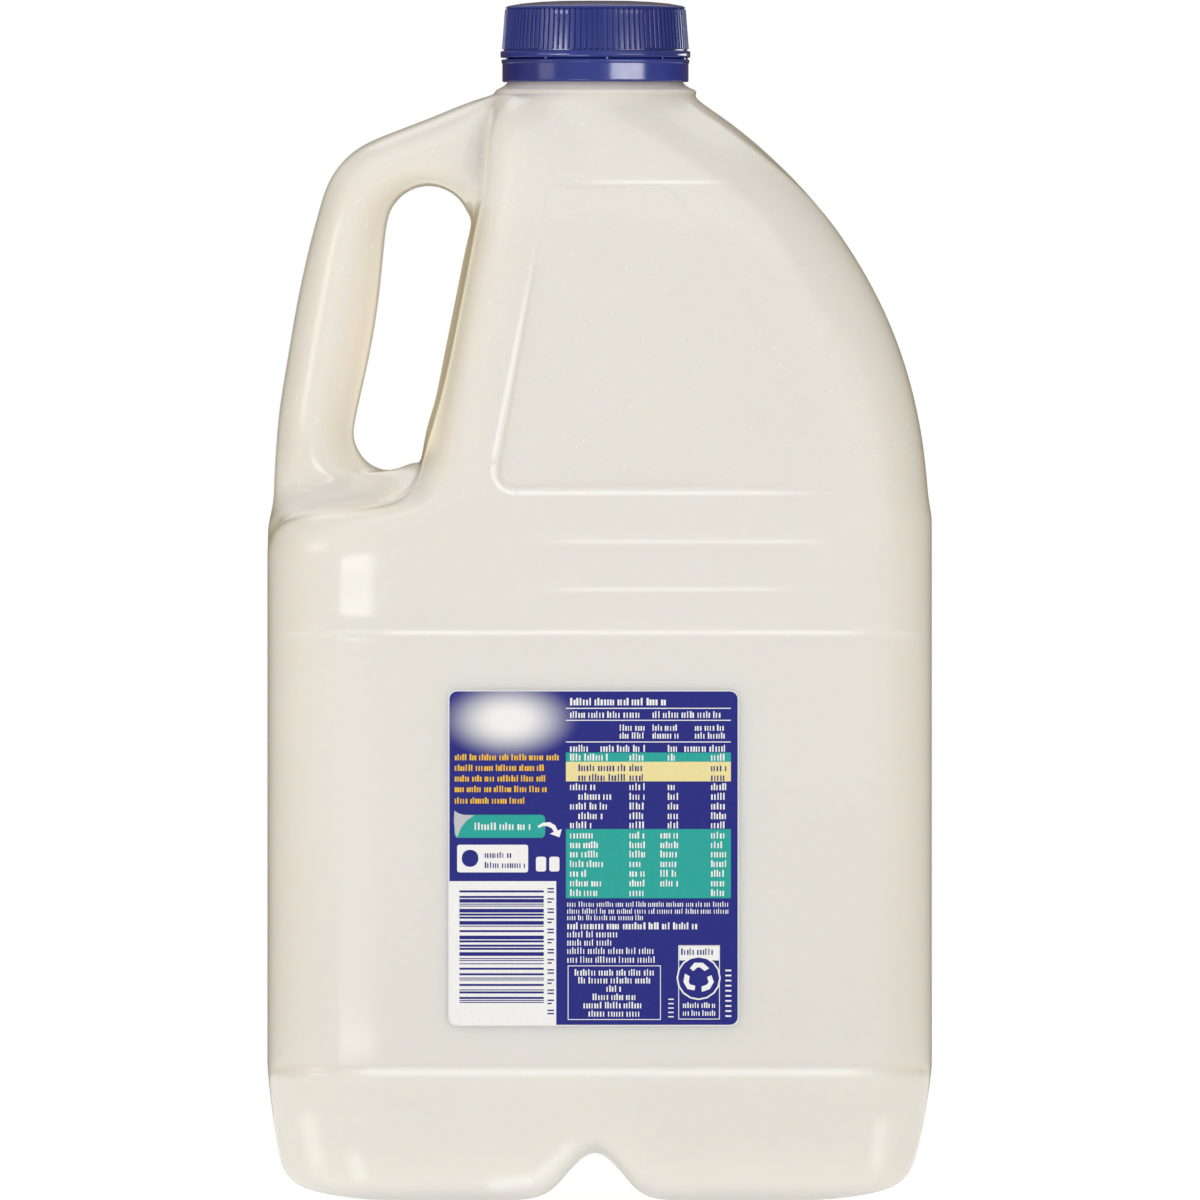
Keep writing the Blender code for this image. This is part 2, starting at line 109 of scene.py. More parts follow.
class Bench:
    """The modelling bench: selection, edit mode and modifiers, one piece at a time."""

    @staticmethod
    def clear() -> None:
        """Leaves edit mode and deselects everything."""
        if bpy.context.mode != "OBJECT":
            bpy.ops.object.mode_set(mode="OBJECT")
        bpy.ops.object.select_all(action="DESELECT")

    @staticmethod
    def take(piece: Thing, *others: Thing) -> None:
        """Selects one piece as the active one, with others beside it if they are given.

        Args:
            piece: The piece to work on.
            others: Pieces to select beside it.
        """
        Bench.clear()
        for other in (*others, piece):
            other.select_set(True)
        bpy.context.view_layer.objects.active = piece

    @staticmethod
    def fresh(name: str) -> Thing:
        """Names the primitive that was just added and sets its place into its mesh.

        Args:
            name: What the piece and its mesh are called.

        Returns:
            The piece, its object at the origin.
        """
        piece = bpy.context.active_object
        piece.name = piece.data.name = name
        bpy.ops.object.transform_apply(location=True, rotation=True, scale=True)
        return piece

    @staticmethod
    @contextmanager
    def editing(piece: Thing) -> Iterator[None]:
        """Keeps a piece open in edit mode for the length of a with block.

        Args:
            piece: The piece to open.

        Returns:
            A context that leaves edit mode when it ends.
        """
        Bench.take(piece)
        bpy.ops.object.mode_set(mode="EDIT")
        yield
        bpy.ops.object.mode_set(mode="OBJECT")

    @staticmethod
    def open_mesh() -> bmesh.types.BMesh:
        """The mesh of the piece that is open in edit mode.

        Returns:
            Its editable mesh, ready to be read by index.
        """
        mesh = bmesh.from_edit_mesh(bpy.context.edit_object.data)
        for items in (mesh.verts, mesh.edges, mesh.faces):
            items.ensure_lookup_table()
        return mesh

    @staticmethod
    def pick(part: Part, test: Callable[..., bool]) -> None:
        """Selects what passes a test in the open piece.

        Args:
            part: Whether points, edges or faces are looked at.
            test: Called with each of them, true for one to select.
        """
        bpy.ops.mesh.select_mode(type=part.value)
        bpy.ops.mesh.select_all(action="DESELECT")
        mesh = Bench.open_mesh()
        for item in {Part.POINT: mesh.verts, Part.EDGE: mesh.edges, Part.FACE: mesh.faces}[part]:
            if test(item):
                item.select_set(True)
        mesh.select_flush_mode()
        bmesh.update_edit_mesh(bpy.context.edit_object.data)

    @staticmethod
    def face_outward() -> None:
        """Merges doubles in the open piece and turns all its faces outward."""
        bpy.ops.mesh.select_all(action="SELECT")
        bpy.ops.mesh.remove_doubles(threshold=WELD)
        bpy.ops.mesh.normals_make_consistent(inside=False)

    @staticmethod
    def join(name: str, pieces: Sequence[Thing]) -> Thing:
        """Joins several pieces into the first and names the result.

        Args:
            name: What the result is called.
            pieces: The pieces, the first of which stays.

        Returns:
            The joined piece.
        """
        Bench.take(*pieces)
        bpy.ops.object.join()
        pieces[0].name = pieces[0].data.name = name
        return pieces[0]

    @staticmethod
    def apply_modifiers(piece: Thing) -> None:
        """Applies all of a piece's modifiers in their order.

        Args:
            piece: The piece that has them.
        """
        Bench.take(piece)
        for modifier in list(piece.modifiers):
            bpy.ops.object.modifier_apply(modifier=modifier.name)

    @staticmethod
    def smooth(piece: Thing, degrees: float) -> None:
        """Shades a piece smooth where its faces meet at less than an angle."""
        Bench.take(piece)
        bpy.ops.object.shade_smooth_by_angle(angle=math.radians(degrees))

    @staticmethod
    def hand_over(piece: Thing, finish: Finish, node: str, slot: str) -> Thing:
        """Args:
            piece: The finished mesh object.
            finish: Its only material.
            node: The CAD node that it stands for, or an empty string for an extra piece.
            slot: The record's material slot; not used.

        Returns:
            The same piece.
        """
        Bench.clear()
        piece.data.materials.clear()
        piece.data.materials.append(finish)
        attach(piece, "root")
        if node:
            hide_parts(node)
        faces = len(piece.data.polygons)
        log.info("%s: %d faces, stands for %s", piece.name, faces, node or "no node")
        return piece


class Desk:
    """The node tree of one material or world, with short ways to add and join nodes."""

    def __init__(self, owner: Finish | bpy.types.World) -> None:
        """Opens the owner's tree and empties it.

        Args:
            owner: The material or world.
        """
        owner.use_nodes = True
        self.tree = owner.node_tree
        self.tree.nodes.clear()

    def add(self, kind: str, **values: object) -> Node:
        """Adds a node of a type such as ShaderNodeMix, with its properties set by name.

        Args:
            kind: The node's type, such as ShaderNodeMix.
            values: The node's own properties by name.

        Returns:
            The new node.
        """
        node = self.tree.nodes.new(kind)
        for name, value in values.items():
            setattr(node, name, value)
        return node

    def link(self, source: Socket, target: Socket) -> None:
        """Joins an output socket to an input socket."""
        self.tree.links.new(source, target)

    def feed(self, value: object, target: Socket) -> None:
        """Links a value to an input if it is a socket, and sets the input to it otherwise.

        Args:
            value: A socket, number, colour or vector.
            target: The input.
        """
        if isinstance(value, Socket):
            self.link(value, target)
        else:
            target.default_value = value

    def place(self, scale: Point = (1.0, 1.0, 1.0), location: Point = (0.0, 0.0, 0.0)) -> Socket:
        """Object coordinates in metres, scaled and moved by a Mapping node.

        Args:
            scale: How much larger the coordinates become on each axis.
            location: How far they are moved afterwards.

        Returns:
            The coordinates.
        """
        source = self.add("ShaderNodeTexCoord")
        mapping = self.add("ShaderNodeMapping")
        mapping.inputs["Scale"].default_value = scale
        mapping.inputs["Location"].default_value = location
        self.link(source.outputs["Object"], mapping.inputs["Vector"])
        return mapping.outputs["Vector"]

    def axes(self) -> tuple[Socket, ...]:
        """The object's X, Y and Z in millimetres.

        Returns:
            One value for each axis.
        """
        split = self.add("ShaderNodeSeparateXYZ")
        self.link(self.place(scale=(1 / MM, 1 / MM, 1 / MM)), split.inputs[0])
        return tuple(split.outputs)

    def noise(self, where: Socket, scale: float, detail: float = 2.0) -> Socket:
        """A noise value from 0 to 1 at the given coordinates.

        Args:
            where: The coordinates.
            scale: How fine it is.
            detail: How many finer layers it has.

        Returns:
            The noise.
        """
        node = self.add("ShaderNodeTexNoise")
        node.inputs["Scale"].default_value = scale
        node.inputs["Detail"].default_value = detail
        self.link(where, node.inputs["Vector"])
        return node.outputs["Fac"]

    def span(self, value: Socket, low: Flat, high: Flat) -> Socket:
        """Maps a value from the low pair's first to the high pair's first onto their seconds.

        Args:
            value: What is mapped.
            low: The value at one end, and its result.
            high: The value at the other end, and its result.

        Returns:
            The result, eased between both ends and held beyond them.
        """
        node = self.add("ShaderNodeMapRange", interpolation_type="SMOOTHSTEP")
        for socket, number in zip(node.inputs[1:5], (low[0], high[0], low[1], high[1])):
            socket.default_value = number
        self.link(value, node.inputs[0])
        return node.outputs[0]

    def drift(self, where: Socket, scale: float, low: float, high: float) -> Socket:
        """A value that drifts between two others, for a gloss that isn't quite even."""
        return self.span(self.noise(where, scale), (0.3, low), (0.7, high))

    def blend(self, share: Socket, first: Colour | Socket, second: Colour | Socket) -> Socket:
        """A colour between two others, which are values or sockets.

        Args:
            share: How much of the second colour shows.
            first: The colour at 0.
            second: The colour at 1.

        Returns:
            The mixed colour.
        """
        node = self.add("ShaderNodeMix", data_type="RGBA")
        self.link(share, node.inputs["Factor"])
        for socket, colour in ((node.inputs[6], first), (node.inputs[7], second)):
            self.feed((*colour, 1.0) if isinstance(colour, tuple) else colour, socket)
        return node.outputs[2]

    def mottle(self, where: Socket, ink: Colour, lighter: Colour) -> Socket:
        """An ink with the faint pattern of a flexographic print."""
        return self.blend(self.span(self.noise(where, 1400.0), (0.3, 0.0), (0.75, 1.0)), ink, lighter)

    def figure(self, operation: str, *values: float | Socket) -> Socket:
        """One operation on one or two values, or carried on through more of them.

        Args:
            operation: The Math node's operation.
            values: Numbers or sockets.

        Returns:
            The result.
        """
        node = self.add("ShaderNodeMath", operation=operation)
        for socket, value in zip(node.inputs, values):
            self.feed(value, socket)
        result = node.outputs[0]
        return self.figure(operation, result, *values[2:]) if values[2:] else result

    def weigh(self, first: Socket, second: Socket, weights: Sequence[float | Socket]) -> Socket:
        """The sum of two values, each times its own weight."""
        return self.figure("ADD", self.figure("MULTIPLY", first, weights[0]),
                           self.figure("MULTIPLY", second, weights[1]))

    def corner(self, x: Socket, z: Socket, centre: Flat, radius: float) -> Socket:
        """The lower left quarter of a thin circle on the X-Z plane.

        Args:
            x: The place's X in millimetres.
            z: The place's Z.
            centre: The circle's middle.
            radius: The circle's radius.

        Returns:
            A value that is 1 on the quarter circle and 0 beside it.
        """
        dx, dz = self.figure("SUBTRACT", x, centre[0]), self.figure("SUBTRACT", z, centre[1])
        off = self.figure("SUBTRACT", self.figure("SQRT", self.weigh(dx, dz, (dx, dz))), radius)
        ring = self.span(self.figure("ABSOLUTE", off), (0.0, 1.0), (0.8, 0.0))
        left, low = self.span(dx, (-0.5, 1.0), (0.5, 0.0)), self.span(dz, (0.5, 1.0), (1.8, 0.0))
        return self.figure("MULTIPLY", ring, left, low)

    def glow(self, centre: Flat, reach: Flat) -> Socket:
        """A soft elliptical patch on the X-Z plane.

        Args:
            centre: Its middle in millimetres.
            reach: Its half sizes in millimetres.

        Returns:
            A value that is 1 in the middle and 0 outside.
        """
        scale = (1 / (reach[0] * MM), 0.0, 1 / (reach[1] * MM))
        location = (-centre[0] / reach[0], 0.0, -centre[1] / reach[1])
        distance = self.add("ShaderNodeVectorMath", operation="LENGTH")
        self.link(self.place(scale, location), distance.inputs[0])
        return self.span(distance.outputs["Value"], (0.2, 1.0), (1.2, 0.0))

    def relief(self, height: Socket, strength: float, depth: float,
               under: Socket | None = None) -> Socket:
        """A bump of the given depth in millimetres, over another one if it is given.

        Args:
            height: What stands out.
            strength: How strongly it shows.
            depth: How far it stands out in millimetres.
            under: Another relief below it.

        Returns:
            The bent normal.
        """
        node = self.add("ShaderNodeBump")
        node.inputs["Strength"].default_value = strength
        node.inputs["Distance"].default_value = depth * MM
        self.link(height, node.inputs["Height"])
        if under is not None:
            self.link(under, node.inputs["Normal"])
        return node.outputs["Normal"]

    def plastic(self, **values: object) -> None:
        """A Principled shader on the output, its inputs fed by name, spaces as underscores.

        Args:
            values: Numbers, colours or sockets for its inputs.
        """
        shader = self.add("ShaderNodeBsdfPrincipled")
        output = self.add("ShaderNodeOutputMaterial")
        self.link(shader.outputs[0], output.inputs["Surface"])
        for name, value in values.items():
            self.feed(value, shader.inputs[name.replace("_", " ")])


@dataclass(frozen=True)
class MouldLine:
    """A soft straight band on the front and back, the mask of a painted highlight along a moulded edge,
    of painted shade or of a painted glow in a fold.

    Places are X and Z in millimetres; the band fades over a share of its length at each end.
    """

    start: Flat
    end: Flat
    strength: float = 0.8
    half_width: float = 0.42
    fade_in: float = 0.1
    fade_out: float = 0.1

    def mask(self, desk: Desk, x: Socket, z: Socket) -> Socket:
        """How strongly the band shows at a place.

        Args:
            desk: The node tree to work in.
            x: The place's X.
            z: The place's Z.

        Returns:
            Its strength on the line, falling to 0 beside it and towards its ends.
        """
        run, rise = self.end[0] - self.start[0], self.end[1] - self.start[1]
        length = math.hypot(run, rise)
        dx, dz = desk.figure("SUBTRACT", x, self.start[0]), desk.figure("SUBTRACT", z, self.start[1])
        share = desk.weigh(dx, dz, (run / length ** 2, rise / length ** 2))
        aside = desk.figure("ABSOLUTE", desk.weigh(dx, dz, (rise / length, -run / length)))
        across = desk.span(aside, (0.0, self.strength), (2 * self.half_width, 0.0))
        opening = desk.span(share, (0.0, 0.0), (self.fade_in, 1.0))
        closing = desk.span(share, (1.0 - self.fade_out, 1.0), (1.0, 0.0))
        return desk.figure("MULTIPLY", across, opening, closing)


@dataclass(frozen=True)
class MilkyPlastic:
    """Thin translucent plastic over milk: warm off-white, a fine grain, soft gloss.

    The edges carry painted highlights: whiter lines along the moulded steps and panel rims, and
    soft light bands on the base's flutes and beside its channel. The tan line is painted shade
    down beside the handle's hole. The three lights are a painted glow, emitted in place of
    what comes through the milk: weakly everywhere, more in the shaded folds and on the wall
    beside the hole, and whiter on the handle's sides. Each span maps a noise, a height or a
    distance from the parting plane onto how strongly something shows.
    """

    body: Colour = (0.80, 0.781, 0.743)
    cloud: Colour = (0.785, 0.765, 0.724)
    collar: Colour = (0.80, 0.72, 0.68)
    speck: Colour = (0.90, 0.885, 0.84)
    # white of the painted highlights along the edges
    edge: Colour = (0.99, 0.99, 0.965)
    # colour of the painted shade beside the handle's hole
    shade_tan: Colour = (0.60, 0.51, 0.37)
    # colours of a painted glow, emitted in place of light through the milk
    body_light: Colour = (0.046, 0.044, 0.043)
    fold_light: Colour = (0.38, 0.34, 0.262)
    handle_light: Colour = (0.31, 0.335, 0.34)
    cloud_scale: float = 14.0
    grain_scale: float = 900.0
    flow_scale: float = 260.0
    gloss_scale: float = 160.0
    cloud_span: Span = ((0.35, 0.0), (0.7, 1.0))
    speck_span: Span = ((0.68, 0.0), (0.76, 0.6))
    speck_heights: Span = ((145.0, 0.2), (165.0, 1.0))
    collar_heights: Span = ((238.5, 0.0), (241.5, 0.8))
    highlight_depths: Span = ((24.0, 0.0), (30.0, 1.0))
    grip_depths: Span = ((3.0, 1.0), (11.0, 0.0))
    # quarter circle of painted highlight at the sunk panel's lower left corner
    panel_corner: Flat = (-18.2, 158.7)
    panel_corner_radius: float = 5.0
    # painted shade down the edge of the handle's hole
    hole_shade_line: MouldLine = MouldLine((-39.2, 156.0), (-26.4, 220.0), 0.55, 4.2, 0.1, 0.15)
    # painted glow that lightens the handle's sides
    handle: MouldLine = MouldLine((-63.5, 148.0), (-50.5, 230.0), 1.0, 9.0, 0.15, 0.1)
    # painted glow in the shaded folds and on the wall beside the hole
    folds: tuple[MouldLine, ...] = (
        MouldLine((-38.0, 160.0), (-26.8, 222.0), 0.95, 1.5, 0.1, 0.25),
        MouldLine((-71.9, 144.6), (-65.5, 148.9), 0.22, 1.4, 0.2, 0.2),
        MouldLine((-67.5, 148.3), (-46.5, 151.3), 0.22, 1.4, 0.1, 0.1),
        MouldLine((-49.0, 150.8), (-40.5, 155.5), 0.22, 1.4, 0.2, 0.2))
    # painted highlights: whiter lines along the moulded steps and panel rims, soft light bands on the
    # base's flutes and beside its channel
    edges: tuple[MouldLine, ...] = (
        MouldLine((-58.0, 28.1), (63.0, 28.1), 1.0, 0.75), MouldLine((-52.0, 123.4), (61.0, 123.4), 0.7),
        MouldLine((-14.0, 132.8), (44.0, 132.8), 0.5, 0.35, 0.2, 0.2),
        MouldLine((-14.0, 143.2), (52.0, 143.2), 0.5, 0.35, 0.2, 0.2),
        MouldLine((-19.0, 153.7), (55.0, 153.7), 1.0, 0.4, 0.03, 0.4),
        MouldLine((-23.2, 160.3), (-13.0, 212.0), 1.0, 0.4, 0.03, 0.7),
        MouldLine((-6.0, 221.3), (31.0, 221.3), 0.8, 0.35, 0.3, 0.3),
        MouldLine((-64.0, 22.0), (-61.0, 4.0), 0.45, 1.7, 0.3, 0.3),
        MouldLine((-54.5, 12.5), (-51.0, 2.5), 0.4, 1.5, 0.4, 0.3),
        MouldLine((-26.0, 3.0), (-13.5, 4.6), 0.5, 1.3, 0.3, 0.1),
        MouldLine((-14.5, 4.0), (-4.5, 14.0), 0.4, 1.2, 0.1, 0.3),
        MouldLine((61.6, 20.0), (59.4, 5.0), 0.4, 1.4, 0.3, 0.3))

    def highlight_mask(self, desk: Desk, x: Socket, y: Socket, z: Socket) -> Socket:
        """Where the painted highlights along the moulded edges show, on the front and the back only.

        Args:
            desk: The node tree to work in.
            x: The place's X in millimetres.
            y: The place's Y.
            z: The place's Z.

        Returns:
            Their strength at the place.
        """
        corner = desk.corner(x, z, self.panel_corner, self.panel_corner_radius)
        total = desk.figure("MAXIMUM", corner, *(line.mask(desk, x, z) for line in self.edges))
        outside = desk.span(desk.figure("ABSOLUTE", y), *self.highlight_depths)
        return desk.figure("MULTIPLY", total, outside)

    def painted_glow(self, desk: Desk, x: Socket, y: Socket, z: Socket) -> Socket:
        """A painted glow, emitted in place of the light that reaches the thin and shaded places through
        the milk.

        Args:
            desk: The node tree to work in.
            x: The place's X in millimetres.
            y: The place's Y.
            z: The place's Z.

        Returns:
            Its colour at the place.
        """
        near = desk.span(desk.figure("ABSOLUTE", y), *self.grip_depths)
        flank = desk.figure("MULTIPLY", self.handle.mask(desk, x, z), near)
        folds = desk.figure("MAXIMUM", *(line.mask(desk, x, z) for line in self.folds))
        return desk.blend(flank, desk.blend(folds, self.body_light, self.fold_light), self.handle_light)

    def colour(self, desk: Desk, grain: Socket, x: Socket, y: Socket, z: Socket) -> Socket:
        """Mixes the plastic's colour with its painted shade and painted highlights.

        Args:
            desk: The node tree to work in.
            grain: The plastic's fine grain.
            x: The place's X in millimetres.
            y: The place's Y.
            z: The place's Z.

        Returns:
            Clouded milk, with specks on the upper part, a collar under the band, painted shade beside
            the hole and painted highlights on the lines.
        """
        clouds = desk.span(desk.noise(desk.place(), self.cloud_scale), *self.cloud_span)
        tint = desk.blend(clouds, self.body, self.cloud)
        upper = desk.span(z, *self.speck_heights)
        specks = desk.figure("MULTIPLY", desk.span(grain, *self.speck_span), upper)
        tint = desk.blend(specks, tint, self.speck)
        tint = desk.blend(desk.span(z, *self.collar_heights), tint, self.collar)
        # painted shade beside the handle's hole
        tint = desk.blend(self.hole_shade_line.mask(desk, x, z), tint, self.shade_tan)
        # painted highlights along the edges
        return desk.blend(self.highlight_mask(desk, x, y, z), tint, self.edge)

    def build(self) -> Finish:
        """Builds the material.

        Returns:
            The new material.
        """
        material = bpy.data.materials.new("milky_plastic")
        desk = Desk(material)
        where = desk.place()
        axes = desk.axes()
        grain = desk.noise(where, self.grain_scale, 1.0)
        flow = desk.noise(desk.place(scale=(1.0, 1.0, 0.12)), self.flow_scale)
        flow = desk.relief(flow, 0.03, 0.4)
        # the emission is a painted glow, not a lamp
        desk.plastic(
            Base_Color=self.colour(desk, grain, *axes),
            Roughness=desk.drift(where, self.gloss_scale, 0.40, 0.46),
            Normal=desk.relief(grain, 0.04, 0.2, flow), Subsurface_Weight=0.75, Subsurface_Scale=0.009,
            Subsurface_Radius=(1.0, 0.72, 0.42), Coat_Weight=0.9, Coat_Roughness=0.13, IOR=1.5,
            Emission_Color=self.painted_glow(desk, *axes), Emission_Strength=1.0)
        return material


@dataclass(frozen=True)
class ClosurePlastic:
    """Glossy deep blue injection-moulded plastic of the cap and the band."""

    base: Colour = (0.014, 0.025, 0.185)
    worn: Colour = (0.017, 0.029, 0.20)

    def build(self) -> Finish:
        """Builds the material.

        Returns:
            The new material.
        """
        material = bpy.data.materials.new("closure_blue")
        desk = Desk(material)
        where = desk.place()
        desk.plastic(
            Base_Color=desk.blend(desk.noise(where, 90.0), self.base, self.worn),
            Roughness=desk.drift(where, 400.0, 0.165, 0.19),
            Normal=desk.relief(desk.noise(where, 1500.0), 0.03, 0.1),
            IOR=1.5, Subsurface_Weight=0.05, Subsurface_Scale=0.001)
        return material


class Ink(Enum):
    """The print's colours."""

    BLUE = (0.011, 0.015, 0.225)
    WHITE = (0.93, 0.93, 0.94)
    TEAL = (0.016, 0.39, 0.35)
    CREAM = (0.88, 0.77, 0.37)
    YELLOW = (0.98, 0.56, 0.01)
    SILVER = (0.55, 0.55, 0.60)


@dataclass(frozen=True)
class PrintedFilm:
    """One ink on satin label film."""

    ink: Ink

    def build(self) -> Finish:
        """Builds the material.

        Returns:
            The new material.
        """
        material = bpy.data.materials.new(f"print_{self.ink.name.lower()}")
        desk = Desk(material)
        where = desk.place()
        lighter = tuple(min(1.0, c * 1.04 + 0.002) for c in self.ink.value)
        desk.plastic(
            Base_Color=desk.mottle(where, self.ink.value, lighter),
            Roughness=desk.drift(where, 220.0, 0.38, 0.47),
            Normal=desk.relief(desk.noise(where, 1800.0), 0.02, 0.05), IOR=1.36)
        return material


@dataclass(frozen=True)
class GlowingField:
    """The label's blue field, fading to a white glow round one place."""

    centre: Flat
    reach: Flat = (13.2, 7.6)
    lighter: Colour = (0.014, 0.018, 0.24)

    def build(self, name: str) -> Finish:
        """Builds the material.

        Args:
            name: What it is called.

        Returns:
            The new material.
        """
        material = bpy.data.materials.new(name)
        desk = Desk(material)
        where = desk.place()
        blue = desk.mottle(where, Ink.BLUE.value, self.lighter)
        desk.plastic(
            Base_Color=desk.blend(desk.glow(self.centre, self.reach), blue, Ink.WHITE.value),
            Roughness=desk.drift(where, 220.0, 0.38, 0.47), IOR=1.36)
        return material


@dataclass
class Jug:
    """The jug's body and handle: one closed form, modelled as a cage and subdivided.

    The front half is three sheets of points, for the wall, the underside and the handle, which
    are joined, mirrored and smoothed. Columns run from the left parting line round the front
    to the right one. Zones are the heights between which something changes.

    The steps pair heights with set-backs of the front. A row of the ledge profile holds the
    share of the way to the wall, on the ledge and in the web, the rise on both, and the heights
    of the corner and of the front. The body levels pair heights with how far the points in the
    hole follow the climb of the wall's foot. The hole's two circles are X, Z and radius. The
    angles are found once, from the section at the panel's top.
    """

    half_width: float = 72.08
    half_depth: float = 57.6
    shoulder_start: float = 140.0
    shoulder_height: float = 137.5
    shoulder_reach: float = 220.2
    shoulder_power: float = 2.4
    wall_narrowing: float = 0.5
    narrowing_zone: Flat = (120.0, 150.0)
    dome_height: float = 125.0
    dome_depth: float = 87.5
    flange_z: float = 241.4
    flange_radius: float = 21.9
    neck_radius: float = 18.4
    finish_top: float = 256.5
    left_corner: float = 22.0
    right_corner: float = 17.0
    right_corner_growth: float = 6.0
    growth_zone: Flat = (160.0, 220.0)
    upper_corner: float = 10.5
    top_corner: float = 7.0
    corner_zone: Flat = (155.0, 197.0)
    least_corner: float = 9.0
    corner_losses: Flat = (0.5, 0.4)
    wall_draft: float = 1.8
    wall_draft_zone: Flat = (150.0, 185.0)
    top_draft: float = 1.4
    top_draft_zone: Flat = (190.0, 221.0)
    circle_starts: Flat = (216.0, 233.0)
    base_height: float = 30.0
    base_tapers: Flat = (4.2, 5.5)
    taper_power: float = 1.3
    channel_power: float = 1.5
    flute_rise: Flat = (0.0, 3.0)
    flute_end: Flat = (10.0, 25.0)
    foot_width: float = 18.0
    foot_height: float = 1.8
    web_share: float = 0.3
    grip_half_depth: float = 14.2
    web_half_depth: float = 15.0
    panel_top: float = 221.2
    panel_bottom: float = 154.1
    panel_sink: float = 0.7
    panel_rim: tuple[float, ...] = (0.45, 0.8, 0.6)
    panel_slant: tuple[Flat, Flat] = ((-22.8, 159.0), (-15.1, 202.0))
    hole_wall: Flat = (-37.6, 164.7)
    hole_lean: float = 0.2
    neck_lean: float = 0.07
    panel_fade_corner: Flat = (12.0, 30.0)
    panel_fade_border: Flat = (36.0, 10.0)
    climb_height: float = 8.0
    climb_lean: float = 0.12
    foot_columns: float = 3.0
    foot_drop: float = 2.5
    foot_shift: float = 0.6
    corner_drop: float = 0.45
    corner_drop_start: float = 129.0
    label_top: float = 123.0
    slope: Flat = (124.5, 143.0)
    slope_depth: float = 1.05
    steps_left: Flat = (-20.0, -11.0)
    steps_right: Flat = (38.0, 56.0)
    ledge_place: Flat = (-55.0, 151.5)
    ledge_lean: float = 0.06
    ledge_fall: float = 0.04
    web_flare: float = 0.5
    channel_x: float = -0.85
    channel_height: float = 10.9
    channel_spreads: Flat = (7.6, 7.1)
    least_channel: float = 0.03
    hold_limit: float = 0.3
    seam_height: float = 0.12
    seam_half_width: float = 0.35
    seam_heights: Flat = (0.6, 242.5)
    side_columns: int = 9
    web_column: int = 2
    corner_start: int = 4
    patch_column: int = 6
    ring_segments: int = 7
    ring_fullness: float = 0.85
    kept_columns: float = 19.0
    front_end: float = 72.2
    front_columns: tuple[float, ...] = (
        -22.0, -14.0, -9.6, -5.2, -0.85, 3.5, 7.9, 12.3, 19.0, 31.0, 43.0)
    base_heights: tuple[float, ...] = (0.0, 0.6, 1.8, 3.8, 7.0, 12.0, 18.5)
    flute_angles: tuple[float, ...] = (3.0, 36.0, 54.0, 72.0, 90.0)
    flute_sinks: tuple[float, ...] = (0.0, 1.7, -0.1, 1.1, 0.0)
    steps: tuple[Flat, ...] = (
        (25.4, 0.0), (27.3, 0.0), (28.8, 1.2), (30.6, 1.2), (50.0, 1.2), (75.0, 1.2), (100.0, 1.2),
        (119.8, 1.2), (122.5, 1.2), (123.7, 0.7), (125.4, 0.7), (130.4, 0.7), (132.0, 0.7),
        (133.1, 0.4), (134.7, 0.4), (140.6, 0.4), (142.2, 0.4), (143.6, 0.0))
    ledge_profile: tuple[tuple[float, ...], ...] = (
        (0.0, 0.0, -7.0, -5.0, 141.5, 147.0), (0.08, 0.01, -2.9, -2.4, 143.4, 148.4),
        (0.27, 0.3, -0.4, 0.0, 146.3, 149.8), (0.66, 0.7, 0.0, 0.0, 149.6, 151.8),
        (0.96, 1.0, 1.9, 0.8, 153.6, 154.1))
    body_levels: tuple[Flat, ...] = (
        (162.5, 0.7), (171.5, 0.3), (181.0, 0.0), (191.0, 0.0), (201.0, 0.0), (208.0, 0.0),
        (213.0, 0.0))
    hole_low: tuple[float, float, float] = (-45.2, 166.9, 8.4)
    hole_high: tuple[float, float, float] = (-37.2, 211.6, 9.2)
    hole_low_angles: tuple[float, ...] = (-50.0, -90.0, -130.0, -165.0, -188.0)
    hole_high_angles: tuple[float, ...] = (172.0, 148.0, 124.0, 100.0, 76.0, 52.0, 34.0, 18.0)
    hole_bulge: float = 0.7
    handle_edge: tuple[Flat, ...] = (
        (-71.2, 151.5), (-70.8, 156.5), (-70.5, 161.5), (-70.1, 167.0), (-69.5, 173.0),
        (-67.9, 182.7), (-65.9, 194.8), (-63.1, 207.5), (-61.3, 214.2), (-59.5, 220.2),
        (-56.9, 224.8), (-52.3, 229.2), (-44.5, 232.5), (-36.5, 235.6), (-28.8, 238.8))
    angles: list[float] = field(default_factory=list)

    @property
    def columns(self) -> int:
        """How many columns of points the front half has."""
        return 2 * self.side_columns + 1 + len(self.front_columns)

    def right_edge(self, z: float) -> float:
        """The right silhouette: upright, then a full shoulder up to the flange.

        Args:
            z: The height.

        Returns:
            X of the edge.
        """
        rise = max(0.0, z - self.shoulder_start) / self.shoulder_height
        curve = 1 - (1 - rise ** self.shoulder_power) ** (1 / self.shoulder_power)
        narrowing = self.wall_narrowing * ease(z, *self.narrowing_zone)
        return self.half_width - narrowing - self.shoulder_reach * curve

    def depth_at(self, z: float) -> float:
        """Half the depth of the body, elliptic above the label panel."""
        rise = max(0.0, z - self.shoulder_start) / self.dome_height
        return self.half_depth - self.dome_depth * (1 - math.sqrt(1 - rise ** 2))

    def right_rounding(self, z: float) -> float:
        """The right corner's radius above the ledge, growing with the height."""
        grown = self.right_corner + self.right_corner_growth * ease(z, *self.growth_zone)
        return min(self.depth_at(z), grown)

    def body_left(self, z: float) -> float:
        """The wall on the body side of the handle hole, nearly upright under the neck.

        Args:
            z: The height.

        Returns:
            X of the wall.
        """
        over = max(0.0, z - self.panel_top)
        x, foot = self.hole_wall
        return x + self.hole_lean * (z - over - foot) + self.neck_lean * over

